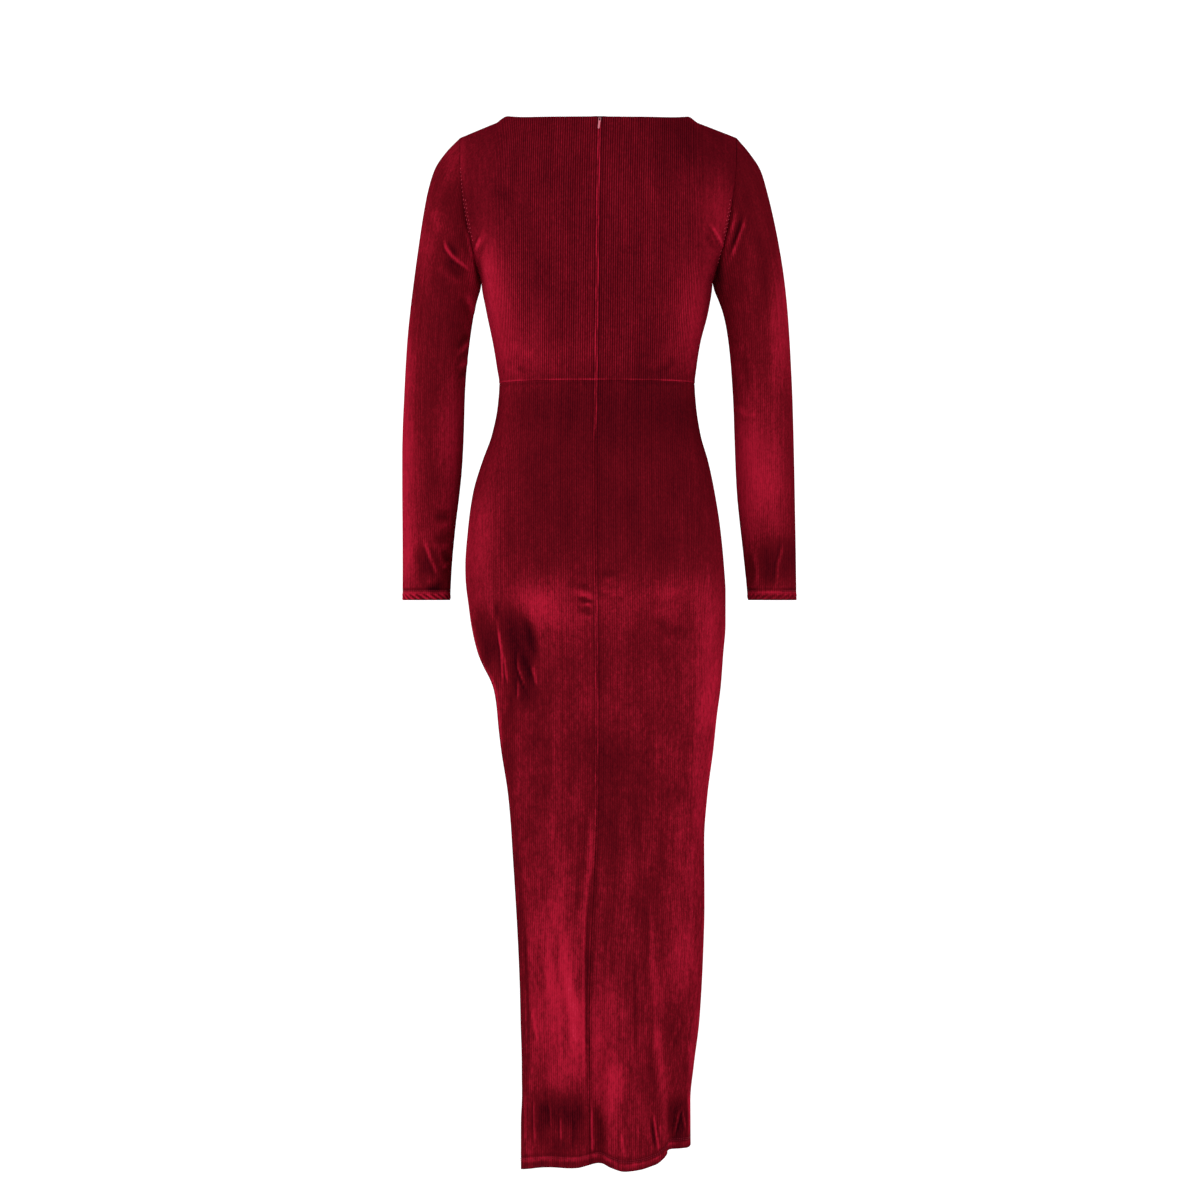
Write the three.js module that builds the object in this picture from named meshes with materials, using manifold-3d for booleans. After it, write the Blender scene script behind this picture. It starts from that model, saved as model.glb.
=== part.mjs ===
import * as THREE from 'three';
import Module from 'manifold-3d';
import { mergeVertices } from 'three/addons/utils/BufferGeometryUtils.js';

// Sizes are in millimetres. The wearer faces -Y, +X is the wearer's left and +Z is up.
// The origin is the middle of the shoulder line.

const CLOTH_WALL = 2.0;
const SEAM_GAP = 0.3;
const HALF_GAP = SEAM_GAP / 2;

const WAIST_Z = -338;
const UNDERARM_Z = -207;
const SHOULDER_TIP_Z = -18;
const NECK_CORNER_X = 130;
const SHOULDER_ROUND = 70;
const SIDE_HEM_Z = -1326;
const SLIT_TOP_Z = -588;

const FRONT_COLUMNS = 24;
const BACK_COLUMNS = 16;
const FRONT_SHOULDER_COLUMNS = 3;
const BACK_SHOULDER_COLUMNS = 4;
const LOWER_BODICE_ROWS = 7;
const ARMHOLE_ROWS = 11;
const RING_STEPS = 240;
const YOKE_STEPS = 80;
const NORMAL_REACH = 1.5;

// How far armhole columns are spread away from the underarm and the shoulder tip.
const ARMHOLE_SPREAD = 0.2;
// Most of its depth that the bodice may have at the armhole.
const ARMHOLE_DEEPEST = 0.9;
// Degrees round the armhole from the shoulder tip, where the sleeve starts to fold off the bodice.
const FOLD_START = 80;
const JOIN_RUN = 22;
const FOLD_RUN = 100;

// Below this height the skirt's columns draw towards the folds of the hem.
const GATHER_START_Z = -900;
const GATHER_RUN = 330;

const VELVET = 0x5c0c18;
const SLIDER_PAINT = 0x4a1019;
const TAB_PAINT = 0xb98a8c;

function table(columns, rows) {
  return rows.map((row) => Object.fromEntries(columns.map((name, i) => [name, row[i]])));
}

// Half widths to the wearer's left and right, depths behind and before the shoulder line.
const BODY = table(['z', 'left', 'right', 'back', 'front', 'power'], [
  [45, 150, 150, 64, 36, 2.5],
  [0, 150, 150, 80, 50, 2.5],
  [-50, 150, 150, 96, 68, 2.5],
  [-100, 150, 150, 104, 92, 2.5],
  [-150, 150, 150, 106, 118, 2.45],
  [-207, 150, 150, 103, 136, 2.4],
  [-242, 144.3, 145.2, 98, 138, 2.4],
  [-288, 134.8, 133.8, 88, 117, 2.35],
  [-320, 129.6, 129, 81, 104, 2.3],
  [-338, 127, 127, 78.5, 98, 2.3],
  [-368, 129.2, 129, 80, 98, 2.3],
  [-406, 137, 135, 88, 100, 2.4],
  [-439, 149, 144.5, 98, 102, 2.5],
  [-480, 161, 153, 109, 103, 2.55],
  [-525, 167.3, 160, 117, 102, 2.6],
  [-576, 171, 165, 119, 100, 2.6],
  [-610, 169.8, 167, 114, 98, 2.6],
  [-650, 167.8, 167, 106, 96, 2.6],
  [-690, 164.6, 164, 99, 95, 2.55],
  [-730, 161, 161, 95, 94, 2.5],
  [-771, 155.6, 155.6, 92, 93, 2.5],
  [-812, 151.4, 151.4, 90, 92, 2.45],
  [-872, 143.6, 143.6, 87.5, 91, 2.4],
  [-930, 139.4, 139.4, 85.5, 90, 2.4],
  [-1014, 139.8, 139.8, 85, 91, 2.4],
  [-1080, 138, 138, 86, 92, 2.4],
  [-1163, 133.3, 133.3, 88, 93, 2.4],
  [-1226, 125.4, 125.4, 90, 94, 2.4],
  [-1270, 121.2, 121.2, 92, 95, 2.4],
  [-1350, 122.2, 122.2, 94, 96, 2.4],
]);

// Line of the centre back seam.
const CENTRE_BACK = table(['z', 'x'], [
  [10, -3.9], [-99, -1.3], [-229, 0], [-337, 1.3], [-430, 2.6], [-530, 2.4], [-619, 1.3],
  [-750, 0.2], [-880, 0.6], [-983, 3.9], [-1061, 7.7], [-1139, 9.6], [-1350, 8.9],
]);

// Back edge of the slit; the front edge mirrors it.
const SLIT_EDGE = table(['z', 'x'], [
  [-605, 169.2], [-621, 166.6], [-646, 163], [-666, 159.2], [-687, 153.4], [-705, 145.2],
  [-719, 137.6], [-732, 132.8], [-752, 129.4], [-780, 126.8], [-810, 123.2], [-870, 114],
  [-951, 107.6], [-1033, 102.5], [-1115, 99.2], [-1217, 98], [-1350, 97.3],
]);

// Height of the ridge of the neck and shoulders, and of both neck edges, by distance from the middle.
const NECK_RIDGE = table(['x', 'z', 'behind'], [
  [0, 45, 55], [60, 32, 10], [100, 18, 0], [120, 9, 0], [130, 1.3, 0],
]);
const NECK_BACK = table(['x', 'z'], [
  [0, -1], [30, -0.6], [60, 0.4], [85, 1.6], [100, 3], [111, 5.2], [119, 7.4], [124, 5.6], [130, 1.3],
]);
const NECK_FRONT = table(['x', 'z'], [
  [0, -55], [30, -53], [60, -46], [82, -37], [100, -27], [115, -16], [124, -7], [130, 1.3],
]);

// Hem height by distance across, on the back and on the front.
const HEM_BACK = table(['x', 'z'], [
  [-123, -1326], [-112, -1324.5], [-94, -1324.5], [-86, -1332], [-75, -1340], [-56, -1344.6],
  [-36, -1345.7], [-17, -1341], [-4, -1336.4], [9, -1338], [26, -1341], [68, -1342.6],
  [97, -1347.6], [123, -1350],
]);
const HEM_FRONT = table(['x', 'z'], [
  [-123, -1326], [-60, -1329], [0, -1331], [60, -1333], [97, -1338], [123, -1340],
]);

// Soft lobes of the form under the cloth.
const LOBES = table(['name', 'half', 'x', 'z', 'wide', 'tall', 'rise'], [
  ['bust_left', 'front', 72, -236, 38, 44, 8],
  ['bust_right', 'front', -71, -237, 38, 44, 8],
  ['bust_hollow', 'front', 0, -238, 20, 48, -4],
  ['seat_left', 'back', 74, -560, 44, 62, 4.5],
  ['seat_right', 'back', -72, -562, 44, 62, 4.5],
  ['seat_hollow', 'back', 2, -572, 15, 58, -4],
  ['under_seat_left', 'back', 104, -700, 22, 42, -6],
  ['under_seat_right', 'back', -78, -676, 34, 34, -3],
  ['blade_left', 'back', 78, -92, 34, 52, 3],
  ['blade_right', 'back', -80, -90, 34, 52, 3],
  ['spine_hollow', 'back', -1, -170, 14, 90, -2.5],
]);

// Long folds of the skirt, from where they start to the hem.
const FOLDS = table(['name', 'half', 'startZ', 'startX', 'hemX', 'wide', 'rise'], [
  ['centre_valley', 'back', -700, 1, -1, 9, -10],
  ['ridge_left_of_centre', 'back', -820, 36, 28, 14, 4.5],
  ['hollow_left', 'back', -1010, 62, 58, 9, -3],
  ['lobe_right_of_centre', 'back', -980, -28, -32, 16, 5],
  ['hollow_right', 'back', -1120, -66, -71, 9, -4],
  ['ridge_before_recess', 'back', -1190, -84, -86, 6, 2.5],
  ['front_ridge_left', 'front', -900, 44, 52, 17, 4.5],
  ['front_hollow_left', 'front', -980, 12, 16, 12, -4],
  ['front_ridge_right', 'front', -860, -30, -38, 18, 4],
  ['front_hollow_right', 'front', -1060, -74, -80, 11, -4],
]);

// Recess beside the right side seam at the hem, where the back lies over itself.
const RECESS = {
  startZ: -1215,
  fullZ: -1305,
  stepX: -89,
  stepWide: 5,
  endX: -104,
  endWide: 13,
  depth: 12,
};

const ARMHOLE = {
  left: { tipX: 177.5, underX: 150, swell: 8, back: 47, front: 44 },
  right: { tipX: 181, underX: 150, swell: 8, back: 47, front: 44 },
};

const SLEEVE_COLUMNS = ['outX', 'outZ', 'inX', 'inZ', 'back', 'front', 'midY', 'even'];
const SLEEVE = {
  left: table(SLEEVE_COLUMNS, [
    [177.5, -18, 150, -207, 47, 44, 0, 0.2],
    [196.5, -37.5, 151.6, -216, 50, 46.5, 0, 0.19],
    [210.5, -58.5, 155, -227, 53, 49, 0, 0.17],
    [219.5, -87, 159, -243, 54.5, 50.5, 0, 0.15],
    [226, -121, 162, -260, 55, 51, 0, 0.12],
    [231.6, -158, 164.5, -277, 54.5, 51, 0, 0.1],
    [237.4, -200, 166.8, -295, 53.5, 50.5, -0.5, 0.08],
    [242.4, -240, 168.8, -312, 52.5, 50, -1, 0.06],
    [246.4, -279, 170.2, -328, 51.5, 49, -1.5, 0.04],
    [249, -318, 171.3, -345, 50.5, 48, -2, 0.02],
    [251, -357, 172.2, -368, 49.5, 47, -3, 0],
    [252.8, -396, 173, -396, 47.5, 46, -4, 0],
    [253.5, -425, 174.2, -425, 46, 45, -5, 0],
    [253.6, -455, 176.2, -455, 44, 43.5, -6, 0],
    [253.6, -485, 179.4, -485, 41.5, 41, -7, 0],
    [253.4, -515, 183.2, -515, 39, 38.5, -8, 0],
    [253.3, -545, 186.4, -545, 36.5, 36, -9, 0],
    [253.3, -575, 189, -575, 34.5, 34, -10, 0],
    [253.4, -600, 190.4, -600, 33.3, 33, -11, 0],
    [253.5, -619, 191, -619, 33, 33, -11.5, 0],
  ]),
  right: table(SLEEVE_COLUMNS, [
    [181, -18, 150, -207, 47, 44, 0, 0.2],
    [198, -38, 152.6, -217, 50, 46.5, 0, 0.19],
    [212.5, -60.5, 157.6, -229, 53, 49, 0, 0.17],
    [221.5, -90, 163, -244, 54.5, 50.5, 0, 0.15],
    [229.4, -123, 167.2, -261, 55, 51, 0, 0.12],
    [236.8, -160, 170, -278, 54.5, 51, 0, 0.1],
    [243.4, -202, 172.2, -296, 53.5, 50.5, -0.5, 0.08],
    [247.6, -241, 173.8, -313, 52.5, 50, -1, 0.06],
    [250.4, -280, 175, -329, 51.5, 49, -1.5, 0.04],
    [252.5, -318, 176.2, -346, 50.5, 48, -2, 0.02],
    [254.3, -357, 177.4, -368, 49.5, 47, -3, 0],
    [255.5, -396, 178.4, -396, 47.5, 46, -4, 0],
    [256.3, -425, 179.4, -425, 46, 45, -5, 0],
    [257, -455, 180.6, -455, 44, 43.5, -6, 0],
    [257.6, -485, 182.4, -485, 41.5, 41, -7, 0],
    [258.2, -515, 185.4, -515, 39, 38.5, -8, 0],
    [258.8, -545, 188.9, -545, 36.5, 36, -9, 0],
    [259.3, -575, 192.2, -575, 34.5, 34, -10, 0],
    [259.7, -600, 194.8, -600, 33.3, 33, -11, 0],
    [260, -619, 196.4, -619, 33, 33, -11.5, 0],
  ]),
};

// Zip slider and pull tab, measured along the centre back from the top edge.
const ZIP = {
  slideDown: 1.0,
  plateLong: 6.6,
  plateTop: 4.4,
  plateFoot: 3.2,
  plateThick: 1.0,
  plateCorner: 0.8,
  plateShoulder: 2.6,
  plateFootCorner: 0.7,
  crownWide: 0.8,
  crownStart: 1.1,
  crownLong: 4.6,
  crownLeg: 0.8,
  crownWindow: 2.0,
  crownRoof: 0.7,
  crownSink: 0.3,
  crownBevel: 0.3,
  crownRound: 1.0,
  tabThick: 0.9,
  barTall: 0.9,
  tabLong: 15.4,
  tabTopWide: 3.1,
  tabFootWide: 2.4,
  tabCorner: 0.4,
  tabWaistStart: 4.2,
  tabWaistEnd: 6,
  tabFootBevel: 0.35,
  tabFootRound: 1.1,
  windowWide: 1.8,
  windowLong: 3.3,
  leanSide: 6,
  leanIn: 5,
};

const lerp = (a, b, t) => a + (b - a) * t;
const clamp = (v, lo, hi) => Math.min(hi, Math.max(lo, v));
const ease = (t) => t * t * (3 - 2 * t);
const step = (t) => ease(clamp(t, 0, 1));
const hill = (t) => Math.exp(-0.5 * t * t);

// Smooth curve through a table that never overshoots its rows.
function sample(rows, key, column, at) {
  const rising = rows[rows.length - 1][key] > rows[0][key];
  const list = rising ? rows : [...rows].reverse();
  const last = list.length - 1;
  if (at <= list[0][key]) {
    return list[0][column];
  }
  if (at >= list[last][key]) {
    return list[last][column];
  }
  let i = 0;
  while (at > list[i + 1][key]) {
    i += 1;
  }
  const slope = (k) => (list[k + 1][column] - list[k][column]) / (list[k + 1][key] - list[k][key]);
  const tangent = (k) => {
    if (k === 0) {
      return slope(0);
    }
    if (k === last) {
      return slope(last - 1);
    }
    const before = slope(k - 1);
    const after = slope(k);
    return before * after <= 0 ? 0 : (2 * before * after) / (before + after);
  };
  const h = list[i + 1][key] - list[i][key];
  const t = (at - list[i][key]) / h;
  const t2 = t * t;
  const t3 = t2 * t;
  return (2 * t3 - 3 * t2 + 1) * list[i][column]
    + (t3 - 2 * t2 + t) * h * tangent(i)
    + (3 * t2 - 2 * t3) * list[i + 1][column]
    + (t3 - t2) * h * tangent(i + 1);
}

const body = (column, z) => sample(BODY, 'z', column, z);
const centreBack = (z) => sample(CENTRE_BACK, 'z', 'x', z);
const facing = (half) => (half === 'back' ? 1 : -1);
const sideSign = (side) => (side === 'left' ? 1 : -1);

function lobes(half, x, z) {
  let rise = 0;
  for (const lobe of LOBES) {
    if (lobe.half === half) {
      rise += lobe.rise * hill((x - lobe.x) / lobe.wide) * hill((z - lobe.z) / lobe.tall);
    }
  }
  return rise;
}

function folds(half, x, z) {
  let rise = 0;
  for (const fold of FOLDS) {
    const along = (fold.startZ - z) / (fold.startZ - SIDE_HEM_Z);
    if (fold.half === half && along > 0) {
      const middle = lerp(fold.startX, fold.hemX, along);
      rise += fold.rise * step(along) * hill((x - middle) / fold.wide);
    }
  }
  if (half === 'back') {
    const grown = step((RECESS.startZ - z) / (RECESS.startZ - RECESS.fullZ));
    const into = step((RECESS.stepX - x) / RECESS.stepWide);
    const out = step((RECESS.endX - x) / RECESS.endWide);
    rise -= RECESS.depth * grown * (into - out);
  }
  return rise;
}

const ringStore = new Map();

// Outline of the front or back half at one height, from the left side to the right side.
function ring(half, z) {
  const mark = half + z.toFixed(4);
  if (ringStore.has(mark)) {
    return ringStore.get(mark);
  }
  const power = body('power', z);
  const depth = body(half, z);
  const wide = { left: body('left', z), right: body('right', z) };
  const xs = [];
  const ys = [];
  const along = [];
  for (let i = 0; i <= RING_STEPS; i += 1) {
    const angle = (Math.PI * i) / RING_STEPS;
    const across = Math.cos(angle);
    const reach = across >= 0 ? wide.left : wide.right;
    xs.push(reach * Math.sign(across) * Math.abs(across) ** (2 / power));
    ys.push(depth * Math.abs(Math.sin(angle)) ** (2 / power));
    along.push(i === 0 ? 0 : along[i - 1] + Math.hypot(xs[i] - xs[i - 1], ys[i] - ys[i - 1]));
  }
  const made = { power, depth, wide, xs, ys, along, long: along[RING_STEPS] };
  ringStore.set(mark, made);
  return made;
}

function crossing(list, value, rising) {
  let low = 0;
  let high = list.length - 1;
  while (high - low > 1) {
    const mid = (low + high) >> 1;
    if (list[mid] < value === rising) {
      low = mid;
    } else {
      high = mid;
    }
  }
  return low + clamp((value - list[low]) / (list[high] - list[low]), 0, 1);
}

function pick(list, index) {
  const low = Math.min(Math.floor(index), list.length - 2);
  return lerp(list[low], list[low + 1], index - low);
}

const alongAtX = (made, x) => pick(made.along, crossing(made.xs, x, false));

// Outer face of the cloth at a height and a length around the half ring.
function skin(half, z, length) {
  const made = ring(half, z);
  const beyond = length < 0 || length > made.long;
  const inside = length < 0 ? -length : length > made.long ? 2 * made.long - length : length;
  const index = crossing(made.along, inside, true);
  const x = pick(made.xs, index);
  const y = pick(made.ys, index);
  const reach = x >= 0 ? made.wide.left : made.wide.right;
  const nx = (Math.sign(x) * (Math.abs(x) / reach) ** (made.power - 1)) / reach;
  const ny = (y / made.depth) ** (made.power - 1) / made.depth;
  const size = Math.hypot(nx, ny);
  const rise = folds(half, x, z);
  const outY = y + (ny / size) * rise + lobes(half, x, z);
  return new THREE.Vector3(x + (nx / size) * rise, facing(half) * (beyond ? -outY : outY), z);
}

function skinNormal(half, z, length) {
  const long = ring(half, z).long;
  const share = length / long;
  const across = skin(half, z, length + NORMAL_REACH).sub(skin(half, z, length - NORMAL_REACH));
  const above = z + NORMAL_REACH;
  const below = z - NORMAL_REACH;
  const up = skin(half, above, share * ring(half, above).long);
  up.sub(skin(half, below, share * ring(half, below).long));
  return across.cross(up).multiplyScalar(facing(half)).normalize();
}

function ridgeHeight(side, x) {
  if (x <= NECK_CORNER_X) {
    return sample(NECK_RIDGE, 'x', 'z', x);
  }
  const corner = NECK_RIDGE[NECK_RIDGE.length - 1].z;
  return lerp(corner, SHOULDER_TIP_Z, (x - NECK_CORNER_X) / (ARMHOLE[side].tipX - NECK_CORNER_X));
}

function topHeight(side, half, x) {
  if (x >= NECK_CORNER_X) {
    return ridgeHeight(side, x);
  }
  return sample(half === 'back' ? NECK_BACK : NECK_FRONT, 'x', 'z', x);
}

const shoulderRound = (fall) => Math.sqrt(1 - Math.max(0, 1 - fall / SHOULDER_ROUND) ** 2);

// Armhole seam on one half; share runs from the underarm at 0 to the shoulder tip at 1.
function armhole(side, half, share) {
  const turn = Math.PI * (1 - share);
  return armholeAt(side, half, turn + ARMHOLE_SPREAD * Math.sin(2 * turn));
}

function armholeAt(side, half, angle) {
  const cut = ARMHOLE[side];
  const middleX = (cut.tipX + cut.underX) / 2;
  const swingX = (cut.tipX - cut.underX) / 2;
  const middleZ = (SHOULDER_TIP_Z + UNDERARM_Z) / 2;
  const swingZ = (SHOULDER_TIP_Z - UNDERARM_Z) / 2;
  const x = middleX + swingX * Math.cos(angle) + cut.swell * Math.sin(angle) ** 2;
  return new THREE.Vector3(
    sideSign(side) * x,
    facing(half) * cut[half] * Math.sin(angle),
    middleZ + swingZ * Math.cos(angle),
  );
}

// Depth of the cloth above the underarm, fitted so that it passes through the armhole seam.
function yokeDepth(side, half, x, z) {
  const middleZ = (SHOULDER_TIP_Z + UNDERARM_Z) / 2;
  const swingZ = (SHOULDER_TIP_Z - UNDERARM_Z) / 2;
  const level = Math.min(z, SHOULDER_TIP_Z - 0.5);
  const edge = armholeAt(side, half, Math.acos(clamp((level - middleZ) / swingZ, -1, 1)));
  const edgeX = Math.abs(edge.x);
  const power = body('power', z);
  const depth = body(half, z);
  const wanted = Math.abs(edge.y) / shoulderRound(ridgeHeight(side, edgeX) - level);
  const wide = edgeX / (1 - Math.min(ARMHOLE_DEEPEST, wanted / depth) ** power) ** (1 / power);
  const across = Math.abs(x);
  const full = depth * (1 - Math.min(1, across / wide) ** power) ** (1 / power);
  const start = half === 'back' ? sample(NECK_RIDGE, 'x', 'behind', across) : 0;
  const fall = Math.max(0, ridgeHeight(side, across) - z);
  return start + (full - start) * shoulderRound(fall) + lobes(half, x, z);
}

// One row of the bodice above the underarm, from the middle to the armhole.
function yokeRow(side, half, share) {
  const edge = armhole(side, half, share);
  const tip = ARMHOLE[side].tipX;
  const edgeRise = (edge.z - UNDERARM_Z) / (SHOULDER_TIP_Z - UNDERARM_Z);
  const points = [];
  const along = [];
  const at = (f) => {
    const top = topHeight(side, half, f * tip);
    const z = UNDERARM_Z + (top - UNDERARM_Z) * lerp(share, edgeRise, ease(f));
    const middle = half === 'back' ? centreBack(z) : 0;
    const x = lerp(middle, edge.x, f);
    return new THREE.Vector3(x, facing(half) * yokeDepth(side, half, x, z), z);
  };
  for (let i = 0; i <= YOKE_STEPS; i += 1) {
    const f = 1 - (1 - i / YOKE_STEPS) ** 2;
    points.push(i === YOKE_STEPS ? edge.clone() : at(f));
    along.push(i === 0 ? 0 : along[i - 1] + points[i].distanceTo(points[i - 1]));
  }
  const corner = crossing(points.map((p) => Math.abs(p.x)), NECK_CORNER_X, true);
  return { points, along, cornerShare: pick(along, corner) / along[YOKE_STEPS] };
}

function onRow(row, share) {
  const index = crossing(row.along, share * row.along[row.along.length - 1], true);
  const low = Math.min(Math.floor(index), row.points.length - 2);
  return row.points[low].clone().lerp(row.points[low + 1], index - low);
}

function lowerRow(side, half, z, columns) {
  const made = ring(half, z);
  const start = alongAtX(made, half === 'back' ? centreBack(z) : 0);
  const end = side === 'left' ? HALF_GAP : made.long - HALF_GAP;
  const row = { points: [], normals: [] };
  for (let i = 0; i <= columns; i += 1) {
    const length = lerp(start, end, i / columns);
    row.points.push(skin(half, z, length));
    row.normals.push(skinNormal(half, z, length));
  }
  return row;
}

function upperRow(side, half, share, columns, shoulderColumns) {
  const neckColumns = columns - shoulderColumns;
  const corner = yokeRow(side, half, 1).cornerShare;
  const row = yokeRow(side, half, share);
  const points = [];
  for (let i = 0; i <= columns; i += 1) {
    const topShare = i <= neckColumns
      ? (corner * i) / neckColumns
      : lerp(corner, 1, (i - neckColumns) / shoulderColumns);
    points.push(onRow(row, lerp(i / columns, topShare, ease(share))));
  }
  return points;
}

// Normals of a grid of points from its neighbours; sign turns them outward.
function gridNormals(grid, sign, closed) {
  const rows = grid.length - 1;
  const columns = grid[0].length;
  return grid.map((row, j) => row.map((point, i) => {
    const before = closed ? row[(i + columns - 1) % columns] : row[Math.max(0, i - 1)];
    const after = closed ? row[(i + 1) % columns] : row[Math.min(columns - 1, i + 1)];
    const below = grid[Math.max(0, j - 1)][i];
    const above = grid[Math.min(rows, j + 1)][i];
    const across = after.clone().sub(before);
    const up = above.clone().sub(below);
    return across.cross(up).multiplyScalar(sign).normalize();
  }));
}

// Share of the joined normal that both pieces use at the armhole, by angle from the shoulder tip.
const joinShare = (share) => step((FOLD_START - 180 * (1 - share)) / JOIN_RUN);
const foldShare = (share) => step((180 * (1 - share) - FOLD_START) / FOLD_RUN);

function shoulderNormal(side) {
  const corner = NECK_RIDGE[NECK_RIDGE.length - 1].z;
  const run = ARMHOLE[side].tipX - NECK_CORNER_X;
  const fall = corner - SHOULDER_TIP_Z;
  return new THREE.Vector3(sideSign(side) * fall, 0, run).normalize();
}

function sleeveGrid(side) {
  const rows = SLEEVE[side];
  const sign = sideSign(side);
  const points = rows.map((row, k) => {
    const line = [];
    for (let c = 0; c < 2 * ARMHOLE_ROWS; c += 1) {
      const half = c < ARMHOLE_ROWS ? 'back' : 'front';
      const share = Math.abs(c - ARMHOLE_ROWS) / ARMHOLE_ROWS;
      if (k === 0) {
        line.push(armhole(side, half, share));
      } else {
        const turn = Math.PI * (1 - share);
        const angle = turn + row.even * Math.sin(2 * turn);
        const x = (row.outX + row.inX) / 2 + ((row.outX - row.inX) / 2) * Math.cos(angle);
        const z = (row.outZ + row.inZ) / 2 + ((row.outZ - row.inZ) / 2) * Math.cos(angle);
        line.push(new THREE.Vector3(sign * x, row.midY + facing(half) * row[half] * Math.sin(angle), z));
      }
    }
    return line;
  });
  return { points, normals: gridNormals(points, -sign, true) };
}

// Grid of one half of a bodice from the middle to the side, waist row first.
function bodiceHalf(side, half, columns, shoulderColumns) {
  const points = [];
  const normals = [];
  for (let j = 0; j < LOWER_BODICE_ROWS; j += 1) {
    const z = lerp(WAIST_Z + HALF_GAP, UNDERARM_Z, j / LOWER_BODICE_ROWS);
    const row = lowerRow(side, half, z, columns);
    points.push(row.points);
    normals.push(row.normals);
  }
  for (let j = 0; j <= ARMHOLE_ROWS; j += 1) {
    points.push(upperRow(side, half, j / ARMHOLE_ROWS, columns, shoulderColumns));
  }
  const found = gridNormals(points, -sideSign(side) * facing(half), false);
  for (let j = LOWER_BODICE_ROWS; j < points.length; j += 1) {
    normals.push(found[j]);
    const rise = points[Math.min(j + 1, points.length - 1)][0].clone().sub(points[j - 1][0]);
    found[j][0].set(0, facing(half) * rise.z, -facing(half) * rise.y).normalize();
  }
  const long = ring(half, UNDERARM_Z).long;
  normals[LOWER_BODICE_ROWS][columns].copy(skinNormal(half, UNDERARM_Z, side === 'left' ? 0 : long));
  for (let i = columns - shoulderColumns; i <= columns; i += 1) {
    normals[points.length - 1][i].copy(shoulderNormal(side));
  }
  return { points, normals };
}

// Moves an armhole edge half the seam gap into its own piece, and off the other where both fold back.
function settleEdge(points, normals, shares, into) {
  const count = points.length;
  const moved = points.map((point, j) => {
    const before = points[Math.max(0, j - 1)];
    const after = points[Math.min(count - 1, j + 1)];
    const along = after.clone().sub(before).normalize();
    const away = normals[j].clone().cross(along).normalize();
    if (away.dot(into[j].clone().sub(point)) < 0) {
      away.negate();
    }
    return point.clone().addScaledVector(away, HALF_GAP)
      .addScaledVector(normals[j], -HALF_GAP * foldShare(shares[j]));
  });
  points.forEach((point, j) => point.copy(moved[j]));
}

function joinedNormal(own, other, share) {
  const joint = own.clone().add(other).normalize();
  return own.clone().lerp(joint, joinShare(share)).normalize();
}

// Fits the armhole edges of both bodice halves and the sleeve head to each other.
function fitArmhole(side, back, front, sleeve) {
  const last = LOWER_BODICE_ROWS;
  for (const [half, piece] of [['back', back], ['front', front]]) {
    const edge = piece.points[0].length - 1;
    const points = [];
    const normals = [];
    const shares = [];
    const into = [];
    for (let j = 0; j <= ARMHOLE_ROWS; j += 1) {
      const share = j / ARMHOLE_ROWS;
      const c = half === 'back' ? ARMHOLE_ROWS - j : (ARMHOLE_ROWS + j) % (2 * ARMHOLE_ROWS);
      const own = piece.normals[last + j][edge];
      own.copy(joinedNormal(own, sleeve.normals[0][c], share));
      points.push(piece.points[last + j][edge]);
      normals.push(own);
      shares.push(share);
      into.push(j === 0 ? piece.points[last - 1][edge] : piece.points[last + j][edge - 1]);
    }
    settleEdge(points, normals, shares, into);
  }
  const points = sleeve.points[0];
  const shares = points.map((point, c) => Math.abs(c - ARMHOLE_ROWS) / ARMHOLE_ROWS);
  const settled = points.map((point) => point.clone());
  points.forEach((point, c) => {
    const piece = c <= ARMHOLE_ROWS ? back : front;
    const edge = piece.points[0].length - 1;
    const j = last + Math.round(shares[c] * ARMHOLE_ROWS);
    const joint = sleeve.normals[0][c].clone().lerp(piece.normals[j][edge], joinShare(shares[c]));
    sleeve.normals[0][c].copy(joint.normalize());
    const count = points.length;
    const along = points[(c + 1) % count].clone().sub(points[(c + count - 1) % count]).normalize();
    const away = sleeve.normals[0][c].clone().cross(along).normalize();
    if (away.dot(sleeve.points[1][c].clone().sub(point)) < 0) {
      away.negate();
    }
    settled[c].addScaledVector(away, HALF_GAP);
    settled[c].addScaledVector(sleeve.normals[0][c], -HALF_GAP * foldShare(shares[c]));
  });
  points.forEach((point, c) => point.copy(settled[c]));
}

const SKIRT_LEVELS = [
  -338, -368, -400, -434, -470, -508, -546, -586, -604, -624, -646, -668, -690, -712, -736, -764, -796,
  -832, -874, -920, -968, -1018, -1068, -1116, -1162, -1204, -1242, -1276, -1303, -1326,
];

// Columns of the right back skirt at the hem, close together at the folds.
const RIGHT_HEM_X = [9, 2, -4, -12, -22, -32, -42, -53, -64, -73, -82, -88.5, -94.5, -104, -113, -119.5];

function slitLength(half, z) {
  if (z >= SLIT_TOP_Z) {
    return HALF_GAP;
  }
  const first = SLIT_EDGE[0].z;
  const level = Math.min(z, first);
  const length = alongAtX(ring(half, level), sample(SLIT_EDGE, 'z', 'x', level));
  return lerp(HALF_GAP, length, clamp((SLIT_TOP_Z - z) / (SLIT_TOP_Z - first), 0, 1));
}

function skirtEnds(name, z) {
  const half = name === 'front' ? 'front' : 'back';
  const long = ring(half, z).long;
  const middle = alongAtX(ring('back', z), centreBack(z));
  if (name === 'front') {
    return [slitLength('front', z), long - HALF_GAP];
  }
  return name === 'left'
    ? [middle - HALF_GAP, slitLength('back', z)]
    : [middle + HALF_GAP, long - HALF_GAP];
}

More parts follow.
